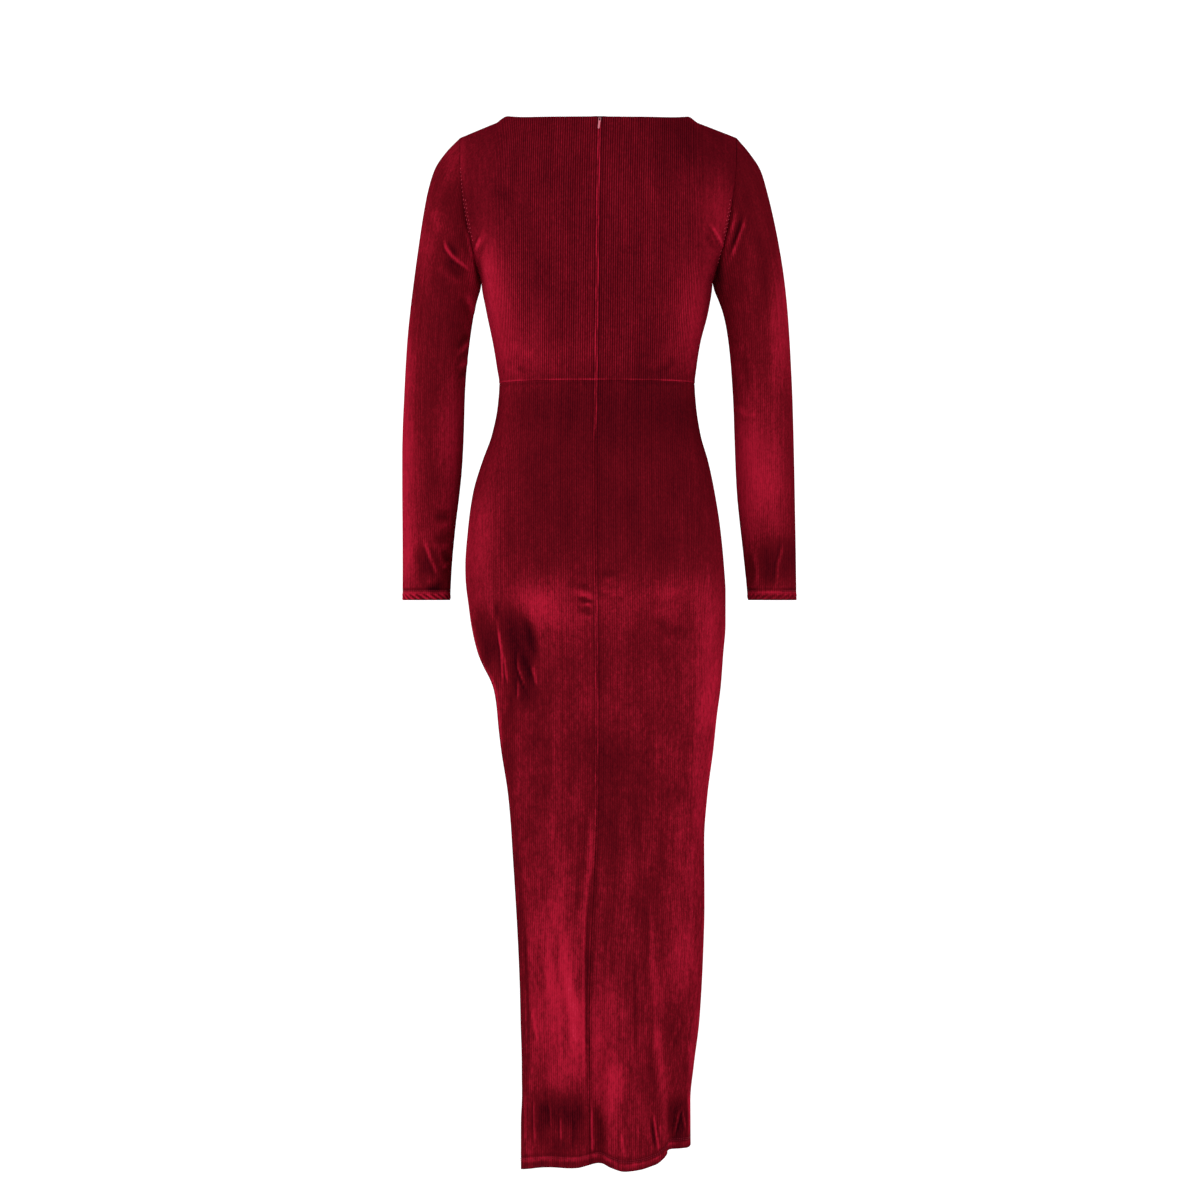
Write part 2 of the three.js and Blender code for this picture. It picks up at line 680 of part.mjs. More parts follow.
// Grid of a skirt panel; the front runs from left to right, the backs from the middle to the side.
function skirtGrid(name, columns) {
  const half = name === 'front' ? 'front' : 'back';
  const [hemStart, hemEnd] = skirtEnds(name, SIDE_HEM_Z);
  const hemShares = [];
  for (let i = 0; i <= columns; i += 1) {
    hemShares.push(i / columns);
  }
  if (name === 'right') {
    RIGHT_HEM_X.forEach((x, i) => {
      const length = alongAtX(ring(half, SIDE_HEM_Z), x);
      hemShares[i] = i === 0 ? 0 : (length - hemStart) / (hemEnd - hemStart);
    });
  }
  const hems = hemShares.map((share) => {
    const x = skin(half, SIDE_HEM_Z, lerp(hemStart, hemEnd, share)).x;
    return sample(half === 'back' ? HEM_BACK : HEM_FRONT, 'x', 'z', x);
  });
  const points = [];
  const normals = [];
  for (const level of SKIRT_LEVELS) {
    const share = (level - WAIST_Z) / (SIDE_HEM_Z - WAIST_Z);
    const gather = step((GATHER_START_Z - level) / GATHER_RUN);
    const line = [];
    const turned = [];
    for (let i = 0; i <= columns; i += 1) {
      const z = lerp(WAIST_Z - HALF_GAP, hems[i], share);
      const [start, end] = skirtEnds(name, z);
      const length = lerp(start, end, lerp(i / columns, hemShares[i], gather));
      line.push(skin(half, z, length));
      turned.push(skinNormal(half, z, length));
    }
    points.push(line);
    normals.push(turned);
  }
  return { points, normals };
}

// Closed wall of cloth between a grid of outer points and the same grid moved inward.
function clothWall(grid, closed) {
  const rows = grid.points.length;
  const columns = grid.points[0].length;
  const total = rows * columns;
  const positions = [];
  for (const depth of [0, CLOTH_WALL]) {
    grid.points.forEach((line, j) => line.forEach((point, i) => {
      const place = point.clone().addScaledVector(grid.normals[j][i], -depth);
      positions.push(place.x, place.y, place.z);
    }));
  }
  const index = [];
  const quad = (a, b, c, d) => index.push(a, b, c, a, c, d);
  const at = (j, i) => j * columns + (i % columns);
  const spans = closed ? columns : columns - 1;
  for (let j = 0; j < rows - 1; j += 1) {
    for (let i = 0; i < spans; i += 1) {
      const [a, b, c, d] = [at(j, i), at(j, i + 1), at(j + 1, i + 1), at(j + 1, i)];
      quad(a, b, c, d);
      quad(d + total, c + total, b + total, a + total);
    }
    if (!closed) {
      quad(at(j, 0), at(j + 1, 0), at(j + 1, 0) + total, at(j, 0) + total);
      quad(at(j + 1, columns - 1), at(j, columns - 1), at(j, columns - 1) + total,
        at(j + 1, columns - 1) + total);
    }
  }
  for (let i = 0; i < spans; i += 1) {
    quad(at(0, i + 1), at(0, i), at(0, i) + total, at(0, i + 1) + total);
    quad(at(rows - 1, i), at(rows - 1, i + 1), at(rows - 1, i + 1) + total, at(rows - 1, i) + total);
  }
  return outward(positions, index);
}

// Geometry whose faces point out, whichever way round the grid was.
function outward(positions, index) {
  let volume = 0;
  const corner = (k) => new THREE.Vector3(...positions.slice(3 * k, 3 * k + 3));
  for (let t = 0; t < index.length; t += 3) {
    volume += corner(index[t]).dot(corner(index[t + 1]).cross(corner(index[t + 2])));
  }
  if (volume < 0) {
    for (let t = 0; t < index.length; t += 3) {
      [index[t], index[t + 1]] = [index[t + 1], index[t]];
    }
  }
  const geometry = new THREE.BufferGeometry();
  geometry.setAttribute('position', new THREE.Float32BufferAttribute(positions, 3));
  geometry.setIndex(index);
  geometry.computeVertexNormals();
  return geometry;
}

function mirrorJoin(left, right) {
  const join = (a, b) => a.map((line, j) => [...[...line].reverse(), ...b[j].slice(1)]);
  return { points: join(left.points, right.points), normals: join(left.normals, right.normals) };
}

const wasm = await Module();
wasm.setup();

function solid(geometry) {
  const plain = geometry.clone();
  plain.deleteAttribute('normal');
  plain.deleteAttribute('uv');
  const merged = mergeVertices(plain, 1e-5);
  return new wasm.Manifold(new wasm.Mesh({
    numProp: 3,
    vertProperties: new Float32Array(merged.getAttribute('position').array),
    triVerts: new Uint32Array(merged.getIndex().array),
  }));
}

function fromSolid(made) {
  const mesh = made.getMesh();
  const geometry = new THREE.BufferGeometry();
  geometry.setAttribute('position', new THREE.Float32BufferAttribute(mesh.vertProperties, 3));
  geometry.setIndex([...mesh.triVerts]);
  geometry.computeVertexNormals();
  return geometry;
}

function outline(pairs) {
  return new THREE.Shape(pairs.map(([a, b]) => new THREE.Vector2(a, b)));
}

const extrude = (shape, depth) => new THREE.ExtrudeGeometry(shape, { depth, bevelEnabled: false });

// Slider lying on the cloth: x across, y down the seam, z off the cloth.
function sliderShape() {
  const top = ZIP.plateTop / 2;
  const foot = ZIP.plateFoot / 2;
  const long = ZIP.plateLong;
  const corner = ZIP.plateCorner;
  const shoulder = ZIP.plateShoulder;
  const low = long - ZIP.plateFootCorner;
  const toe = foot - ZIP.plateFootCorner;
  const plate = extrude(outline([
    [-top + corner, 0], [top - corner, 0], [top, corner], [top, shoulder], [foot, low], [toe, long],
    [-toe, long], [-foot, low], [-top, shoulder], [-top, corner],
  ]), ZIP.plateThick);
  plate.translate(0, 0, SEAM_GAP);
  const base = SEAM_GAP + ZIP.plateThick;
  const high = base + ZIP.crownWindow + ZIP.crownRoof;
  const start = ZIP.crownStart;
  const end = start + ZIP.crownLong;
  const bottom = base - ZIP.crownSink;
  const bevel = ZIP.crownBevel;
  const round = ZIP.crownRound;
  const side = outline([
    [start, bottom], [start, high - round], [start + bevel, high - bevel], [start + round, high],
    [end - round, high], [end - bevel, high - bevel], [end, high - round], [end, bottom],
  ]);
  side.holes.push(outline([
    [start + ZIP.crownLeg, base], [end - ZIP.crownLeg, base],
    [end - ZIP.crownLeg, base + ZIP.crownWindow], [start + ZIP.crownLeg, base + ZIP.crownWindow],
  ]));
  const crown = extrude(side, ZIP.crownWide);
  crown.translate(0, 0, -ZIP.crownWide / 2);
  crown.applyMatrix4(new THREE.Matrix4().set(0, 0, 1, 0, 1, 0, 0, 0, 0, 1, 0, 0, 0, 0, 0, 1));
  return fromSolid(solid(plate).add(solid(crown)));
}

// Pull tab around its bar at the origin: x across, y down the tab, z off the cloth.
function tabShape() {
  const bar = ZIP.barTall / 2;
  const top = ZIP.tabTopWide / 2;
  const foot = ZIP.tabFootWide / 2;
  const end = ZIP.tabLong - bar;
  const corner = ZIP.tabCorner;
  const waistStart = ZIP.tabWaistStart;
  const waistEnd = ZIP.tabWaistEnd;
  const bevel = ZIP.tabFootBevel;
  const round = ZIP.tabFootRound;
  const plate = outline([
    [-top + corner, -bar], [top - corner, -bar], [top, -bar + corner], [top, waistStart],
    [foot, waistEnd], [foot, end - round], [foot - bevel, end - bevel], [foot - round, end],
    [-foot + round, end], [-foot + bevel, end - bevel], [-foot, end - round], [-foot, waistEnd],
    [-top, waistStart], [-top, -bar + corner],
  ]);
  const hole = ZIP.windowWide / 2;
  plate.holes.push(outline([
    [-hole, bar], [hole, bar], [hole, bar + ZIP.windowLong], [-hole, bar + ZIP.windowLong],
  ]));
  const geometry = extrude(plate, ZIP.tabThick);
  geometry.translate(0, 0, -ZIP.tabThick / 2);
  return fromSolid(solid(geometry));
}

// Frame on the cloth at the top of the centre back: origin, across, down and out.
function zipFrame(backLeft) {
  const rows = backLeft.points.length - 1;
  const top = backLeft.points[rows][0];
  const below = backLeft.points[rows - 1][0];
  const down = new THREE.Vector3(0, below.y - top.y, below.z - top.z).normalize();
  const across = new THREE.Vector3(1, 0, 0);
  const out = across.clone().cross(down).normalize();
  const origin = new THREE.Vector3(centreBack(top.z), top.y, top.z).addScaledVector(down, ZIP.slideDown);
  return new THREE.Matrix4().makeBasis(across, down, out).setPosition(origin);
}

const group = new THREE.Group();
group.name = 'bodycon_maxi_dress';

function addMesh(name, geometry, color, roughness, metalness) {
  const material = new THREE.MeshStandardMaterial({ color, roughness, metalness });
  material.name = `${name}_material`;
  const mesh = new THREE.Mesh(geometry, material);
  mesh.name = name;
  group.add(mesh);
}

const frontHalf = FRONT_COLUMNS / 2;
const backLeft = bodiceHalf('left', 'back', BACK_COLUMNS, BACK_SHOULDER_COLUMNS);
const backRight = bodiceHalf('right', 'back', BACK_COLUMNS, BACK_SHOULDER_COLUMNS);
const frontLeft = bodiceHalf('left', 'front', frontHalf, FRONT_SHOULDER_COLUMNS);
const frontRight = bodiceHalf('right', 'front', frontHalf, FRONT_SHOULDER_COLUMNS);
const sleeveLeft = sleeveGrid('left');
const sleeveRight = sleeveGrid('right');
const zipPlace = zipFrame(backLeft);
fitArmhole('left', backLeft, frontLeft, sleeveLeft);
fitArmhole('right', backRight, frontRight, sleeveRight);

function openShoulder(piece, half, shoulderColumns) {
  const top = piece.points[piece.points.length - 1];
  for (let i = top.length - 1 - shoulderColumns; i < top.length; i += 1) {
    top[i].y = facing(half) * HALF_GAP;
  }
}

function openCentreBack(piece, side) {
  for (const line of piece.points) {
    line[0].x += sideSign(side) * HALF_GAP;
  }
}

openShoulder(backLeft, 'back', BACK_SHOULDER_COLUMNS);
openShoulder(backRight, 'back', BACK_SHOULDER_COLUMNS);
openShoulder(frontLeft, 'front', FRONT_SHOULDER_COLUMNS);
openShoulder(frontRight, 'front', FRONT_SHOULDER_COLUMNS);
openCentreBack(backLeft, 'left');
openCentreBack(backRight, 'right');

addMesh('front_bodice', clothWall(mirrorJoin(frontLeft, frontRight), false), VELVET, 0.85, 0);
addMesh('back_bodice_left', clothWall(backLeft, false), VELVET, 0.85, 0);
addMesh('back_bodice_right', clothWall(backRight, false), VELVET, 0.85, 0);
addMesh('front_skirt', clothWall(skirtGrid('front', FRONT_COLUMNS), false), VELVET, 0.85, 0);
addMesh('back_skirt_left', clothWall(skirtGrid('left', BACK_COLUMNS), false), VELVET, 0.85, 0);
addMesh('back_skirt_right', clothWall(skirtGrid('right', BACK_COLUMNS), false), VELVET, 0.85, 0);
addMesh('sleeve_left', clothWall(sleeveLeft, true), VELVET, 0.85, 0);
addMesh('sleeve_right', clothWall(sleeveRight, true), VELVET, 0.85, 0);

const slider = sliderShape();
slider.applyMatrix4(zipPlace);
addMesh('zip_slider', slider, SLIDER_PAINT, 0.35, 0.4);

const barDown = ZIP.crownStart + ZIP.crownLong / 2;
const barOut = SEAM_GAP + ZIP.plateThick + ZIP.crownWindow / 2;
const tab = tabShape();
tab.rotateZ(THREE.MathUtils.degToRad(-ZIP.leanSide));
tab.rotateX(THREE.MathUtils.degToRad(-ZIP.leanIn));
tab.translate(0, barDown, barOut);
tab.applyMatrix4(zipPlace);
addMesh('zip_pull_tab', tab, TAB_PAINT, 0.3, 0.1);

export default group;
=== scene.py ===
import math

import bpy
import numpy as np
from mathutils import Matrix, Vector


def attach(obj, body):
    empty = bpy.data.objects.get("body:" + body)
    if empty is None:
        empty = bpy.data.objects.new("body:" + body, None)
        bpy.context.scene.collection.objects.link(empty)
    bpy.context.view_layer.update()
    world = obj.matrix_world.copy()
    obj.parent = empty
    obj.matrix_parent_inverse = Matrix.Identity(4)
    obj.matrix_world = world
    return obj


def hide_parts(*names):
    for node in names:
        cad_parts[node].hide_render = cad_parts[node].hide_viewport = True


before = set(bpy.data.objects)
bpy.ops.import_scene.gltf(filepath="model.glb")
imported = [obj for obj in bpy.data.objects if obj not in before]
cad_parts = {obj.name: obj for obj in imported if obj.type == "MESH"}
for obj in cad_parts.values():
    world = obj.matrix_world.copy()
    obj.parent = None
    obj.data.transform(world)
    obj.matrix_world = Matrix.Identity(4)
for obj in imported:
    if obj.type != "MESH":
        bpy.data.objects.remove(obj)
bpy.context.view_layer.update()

# Sizes are in millimetres until a mesh is made. The dress faces -Y, with its left side at +X.
METRES = 0.001

# Camera behind the dress, level with the thighs
VIEW_WIDE = 1560
VIEW_FAR = 4300
VIEW_ACROSS = -3.9
VIEW_HEIGHT = -618.8
SENSOR = 36.0

camera_data = bpy.data.cameras.new("camera")
camera_data.sensor_width = SENSOR
camera_data.lens = SENSOR * VIEW_FAR / VIEW_WIDE
camera_data.clip_end = 50.0
camera = bpy.data.objects.new("camera", camera_data)
bpy.context.scene.collection.objects.link(camera)
camera.location = Vector((VIEW_ACROSS, VIEW_FAR, VIEW_HEIGHT)) * METRES
camera.rotation_euler = (math.radians(90), 0, math.radians(180))
bpy.context.scene.camera = camera

# Cloth: wall, gap at the seams, ribs, columns of points in a rib, and which of them the inside keeps
WALL = 1.7
SEAM_GAP = 0.3
HALF_GAP = SEAM_GAP / 2
WALE_PITCH = 2.9
WALE_DEEP = 0.38
COLUMNS_A_WALE = 4
PLAIN_EVERY = 8

# Heights and places of the cut
WAIST_Z = -338
UNDERARM_Z = -207
SHOULDER_TIP_Z = -18
NECK_CORNER_X = 130
SHOULDER_ROUND = 70
SIDE_HEM_Z = -1326
SLIT_TOP_Z = -588
ZIP_END_Z = -415
STITCH_ABOVE_HEM = 12


class Curve:
    """Smooth curve through a table's rows that never overshoots them."""

    def __init__(self, places, values):
        order = np.argsort(places)
        self.places = np.asarray(places, float)[order]
        self.values = np.asarray(values, float)[order]
        self.spans = np.diff(self.places)
        slopes = np.diff(self.values) / self.spans
        product = slopes[:-1] * slopes[1:]
        total = slopes[:-1] + slopes[1:]
        inner = np.where(product > 0, 2 * product / np.where(total == 0, 1, total), 0)
        self.tangents = np.concatenate([slopes[:1], inner, slopes[-1:]])

    def __call__(self, at):
        at = np.clip(at, self.places[0], self.places[-1])
        i = np.clip(np.searchsorted(self.places, at) - 1, 0, len(self.spans) - 1)
        h = self.spans[i]
        t = (at - self.places[i]) / h
        return (
            (2 * t**3 - 3 * t**2 + 1) * self.values[i]
            + (t**3 - 2 * t**2 + t) * h * self.tangents[i]
            + (3 * t**2 - 2 * t**3) * self.values[i + 1]
            + (t**3 - t**2) * h * self.tangents[i + 1]
        )


def curves(columns, rows):
    """A curve for each named column, along the first."""
    table = np.array(rows, float)
    return {name: Curve(table[:, 0], table[:, i]) for i, name in enumerate(columns) if i}


def records(columns, rows):
    return [dict(zip(columns, row)) for row in rows]


# Half widths to the left and right, depths behind and before the shoulder line
BODY = curves(("z", "left", "right", "back", "front", "power"), [
    (45, 150, 150, 64, 36, 2.5),
    (0, 150, 150, 80, 50, 2.5),
    (-50, 150, 150, 96, 68, 2.5),
    (-100, 150, 150, 104, 92, 2.5),
    (-150, 150, 150, 106, 118, 2.45),
    (-207, 150, 150, 103, 136, 2.4),
    (-242, 144.3, 145.2, 98, 138, 2.4),
    (-288, 134.8, 133.8, 88, 117, 2.35),
    (-320, 129.6, 129, 81, 104, 2.3),
    (-338, 127, 127, 78.5, 98, 2.3),
    (-368, 129.2, 129, 80, 98, 2.3),
    (-406, 137, 135, 88, 100, 2.4),
    (-439, 149, 144.5, 98, 102, 2.5),
    (-480, 161, 153, 109, 103, 2.55),
    (-525, 167.3, 160, 117, 102, 2.6),
    (-576, 171, 165, 119, 100, 2.6),
    (-610, 169.8, 167, 114, 98, 2.6),
    (-650, 167.8, 167, 106, 96, 2.6),
    (-690, 164.6, 164, 99, 95, 2.55),
    (-730, 161, 161, 95, 94, 2.5),
    (-771, 155.6, 155.6, 92, 93, 2.5),
    (-812, 151.4, 151.4, 90, 92, 2.45),
    (-872, 143.6, 143.6, 87.5, 91, 2.4),
    (-930, 139.4, 139.4, 85.5, 90, 2.4),
    (-1014, 139.8, 139.8, 85, 91, 2.4),
    (-1080, 138, 138, 86, 92, 2.4),
    (-1163, 133.3, 133.3, 88, 93, 2.4),
    (-1226, 125.4, 125.4, 90, 94, 2.4),
    (-1270, 121.2, 121.2, 92, 95, 2.4),
    (-1350, 122.2, 122.2, 94, 96, 2.4),
])

CENTRE_BACK = curves(("z", "x"), [
    (10, -3.9), (-99, -1.3), (-229, 0), (-337, 1.3), (-430, 2.6), (-530, 2.4), (-619, 1.3),
    (-750, 0.2), (-880, 0.6), (-983, 3.9), (-1061, 7.7), (-1139, 9.6), (-1350, 8.9),
])["x"]

# Back edge of the slit; the front edge mirrors it
SLIT_START_Z = -605
SLIT_EDGE = curves(("z", "x"), [
    (SLIT_START_Z, 169.2), (-621, 166.6), (-646, 163), (-666, 159.2), (-687, 153.4), (-705, 145.2),
    (-719, 137.6), (-732, 132.8), (-752, 129.4), (-780, 126.8), (-810, 123.2), (-870, 114),
    (-951, 107.6), (-1033, 102.5), (-1115, 99.2), (-1217, 98), (-1350, 97.3),
])["x"]

# Height of the ridge of the neck and shoulders, and of both neck edges, by distance from the middle
NECK_CORNER_Z = 1.3
NECK_RIDGE = curves(("x", "z", "behind"), [
    (0, 45, 55), (60, 32, 10), (100, 18, 0), (120, 9, 0), (130, NECK_CORNER_Z, 0),
])
NECK_EDGE = {
    "back": curves(("x", "z"), [
        (0, -1), (30, -0.6), (60, 0.4), (85, 1.6), (100, 3), (111, 5.2), (119, 7.4), (124, 5.6),
        (130, NECK_CORNER_Z),
    ])["z"],
    "front": curves(("x", "z"), [
        (0, -55), (30, -53), (60, -46), (82, -37), (100, -27), (115, -16), (124, -7),
        (130, NECK_CORNER_Z),
    ])["z"],
}

HEM_EDGE = {
    "back": curves(("x", "z"), [
        (-123, SIDE_HEM_Z), (-112, -1324.5), (-94, -1324.5), (-86, -1332), (-75, -1340),
        (-56, -1344.6), (-36, -1345.7), (-17, -1341), (-4, -1336.4), (9, -1338), (26, -1341),
        (68, -1342.6), (97, -1347.6), (123, -1350),
    ])["z"],
    "front": curves(("x", "z"), [
        (-123, SIDE_HEM_Z), (-60, -1329), (0, -1331), (60, -1333), (97, -1338), (123, -1340),
    ])["z"],
}

# Soft lobes of the form under the cloth
LOBES = records(("half", "x", "z", "wide", "tall", "rise"), [
    ("front", 72, -236, 38, 44, 8),  # bust
    ("front", -71, -237, 38, 44, 8),
    ("front", 0, -238, 20, 48, -4),
    ("back", 74, -560, 44, 62, 4.5),  # seat
    ("back", -72, -562, 44, 62, 4.5),
    ("back", 2, -572, 15, 58, -4),
    ("back", 104, -700, 22, 42, -6),  # under the seat
    ("back", -78, -676, 34, 34, -3),
    ("back", 78, -92, 34, 52, 3),  # shoulder blades and spine
    ("back", -80, -90, 34, 52, 3),
    ("back", -1, -170, 14, 90, -2.5),
])

# Long folds of the skirt, from where they start to the hem: ridges and the hollows between them
FOLDS = records(("half", "start_z", "start_x", "hem_x", "wide", "rise"), [
    ("back", -700, 1, -1, 9, -10),
    ("back", -820, 36, 28, 14, 4.5),
    ("back", -1010, 62, 58, 9, -3),
    ("back", -980, -28, -32, 16, 5),
    ("back", -1120, -66, -71, 9, -4),
    ("back", -1190, -84, -86, 6, 2.5),
    ("front", -900, 44, 52, 17, 4.5),
    ("front", -980, 12, 16, 12, -4),
    ("front", -860, -30, -38, 18, 4),
    ("front", -1060, -74, -80, 11, -4),
])

# Recess beside the right side seam at the hem, where the back lies over itself
RECESS = {
    "start_z": -1215, "full_z": -1305, "step_x": -89, "step_wide": 5, "end_x": -104,
    "end_wide": 13, "depth": 12,
}

ARMHOLE = {
    "left": {"tip_x": 177.5, "under_x": 150, "swell": 8, "back": 47, "front": 44},
    "right": {"tip_x": 181, "under_x": 150, "swell": 8, "back": 47, "front": 44},
}

# Rings of the sleeves: the depths that both share, and each side's outer and inner line
SLEEVE_DEPTHS = curves(("ring", "back", "front", "mid_y"), [
    (0, 47, 44, 0), (1, 50, 46.5, 0), (2, 53, 49, 0), (3, 54.5, 50.5, 0), (4, 55, 51, 0),
    (5, 54.5, 51, 0), (6, 53.5, 50.5, -0.5), (7, 52.5, 50, -1), (8, 51.5, 49, -1.5),
    (9, 50.5, 48, -2), (10, 49.5, 47, -3), (11, 47.5, 46, -4), (12, 46, 45, -5), (13, 44, 43.5, -6),
    (14, 41.5, 41, -7), (15, 39, 38.5, -8), (16, 36.5, 36, -9), (17, 34.5, 34, -10),
    (18, 33.3, 33, -11), (19, 33, 33, -11.5),
])
SLEEVE_COLUMNS = ("ring", "out_x", "out_z", "in_x", "in_z")
SLEEVE = {
    "left": SLEEVE_DEPTHS | curves(SLEEVE_COLUMNS, [
        (0, 177.5, -18, 150, -207),
        (1, 196.5, -37.5, 151.6, -216),
        (2, 210.5, -58.5, 155, -227),
        (3, 219.5, -87, 159, -243),
        (4, 226, -121, 162, -260),
        (5, 231.6, -158, 164.5, -277),
        (6, 237.4, -200, 166.8, -295),
        (7, 242.4, -240, 168.8, -312),
        (8, 246.4, -279, 170.2, -328),
        (9, 249, -318, 171.3, -345),
        (10, 251, -357, 172.2, -368),
        (11, 252.8, -396, 173, -396),
        (12, 253.5, -425, 174.2, -425),
        (13, 253.6, -455, 176.2, -455),
        (14, 253.6, -485, 179.4, -485),
        (15, 253.4, -515, 183.2, -515),
        (16, 253.3, -545, 186.4, -545),
        (17, 253.3, -575, 189, -575),
        (18, 253.4, -600, 190.4, -600),
        (19, 253.5, -619, 191, -619),
    ]),
    "right": SLEEVE_DEPTHS | curves(SLEEVE_COLUMNS, [
        (0, 181, -18, 150, -207),
        (1, 198, -38, 152.6, -217),
        (2, 212.5, -60.5, 157.6, -229),
        (3, 221.5, -90, 163, -244),
        (4, 229.4, -123, 167.2, -261),
        (5, 236.8, -160, 170, -278),
        (6, 243.4, -202, 172.2, -296),
        (7, 247.6, -241, 173.8, -313),
        (8, 250.4, -280, 175, -329),
        (9, 252.5, -318, 176.2, -346),
        (10, 254.3, -357, 177.4, -368),
        (11, 255.5, -396, 178.4, -396),
        (12, 256.3, -425, 179.4, -425),
        (13, 257, -455, 180.6, -455),
        (14, 257.6, -485, 182.4, -485),
        (15, 258.2, -515, 185.4, -515),
        (16, 258.8, -545, 188.9, -545),
        (17, 259.3, -575, 192.2, -575),
        (18, 259.7, -600, 194.8, -600),
        (19, 260, -619, 196.4, -619),
    ]),
}
LAST_RING = 19
CUFF_RING_TALL = 19

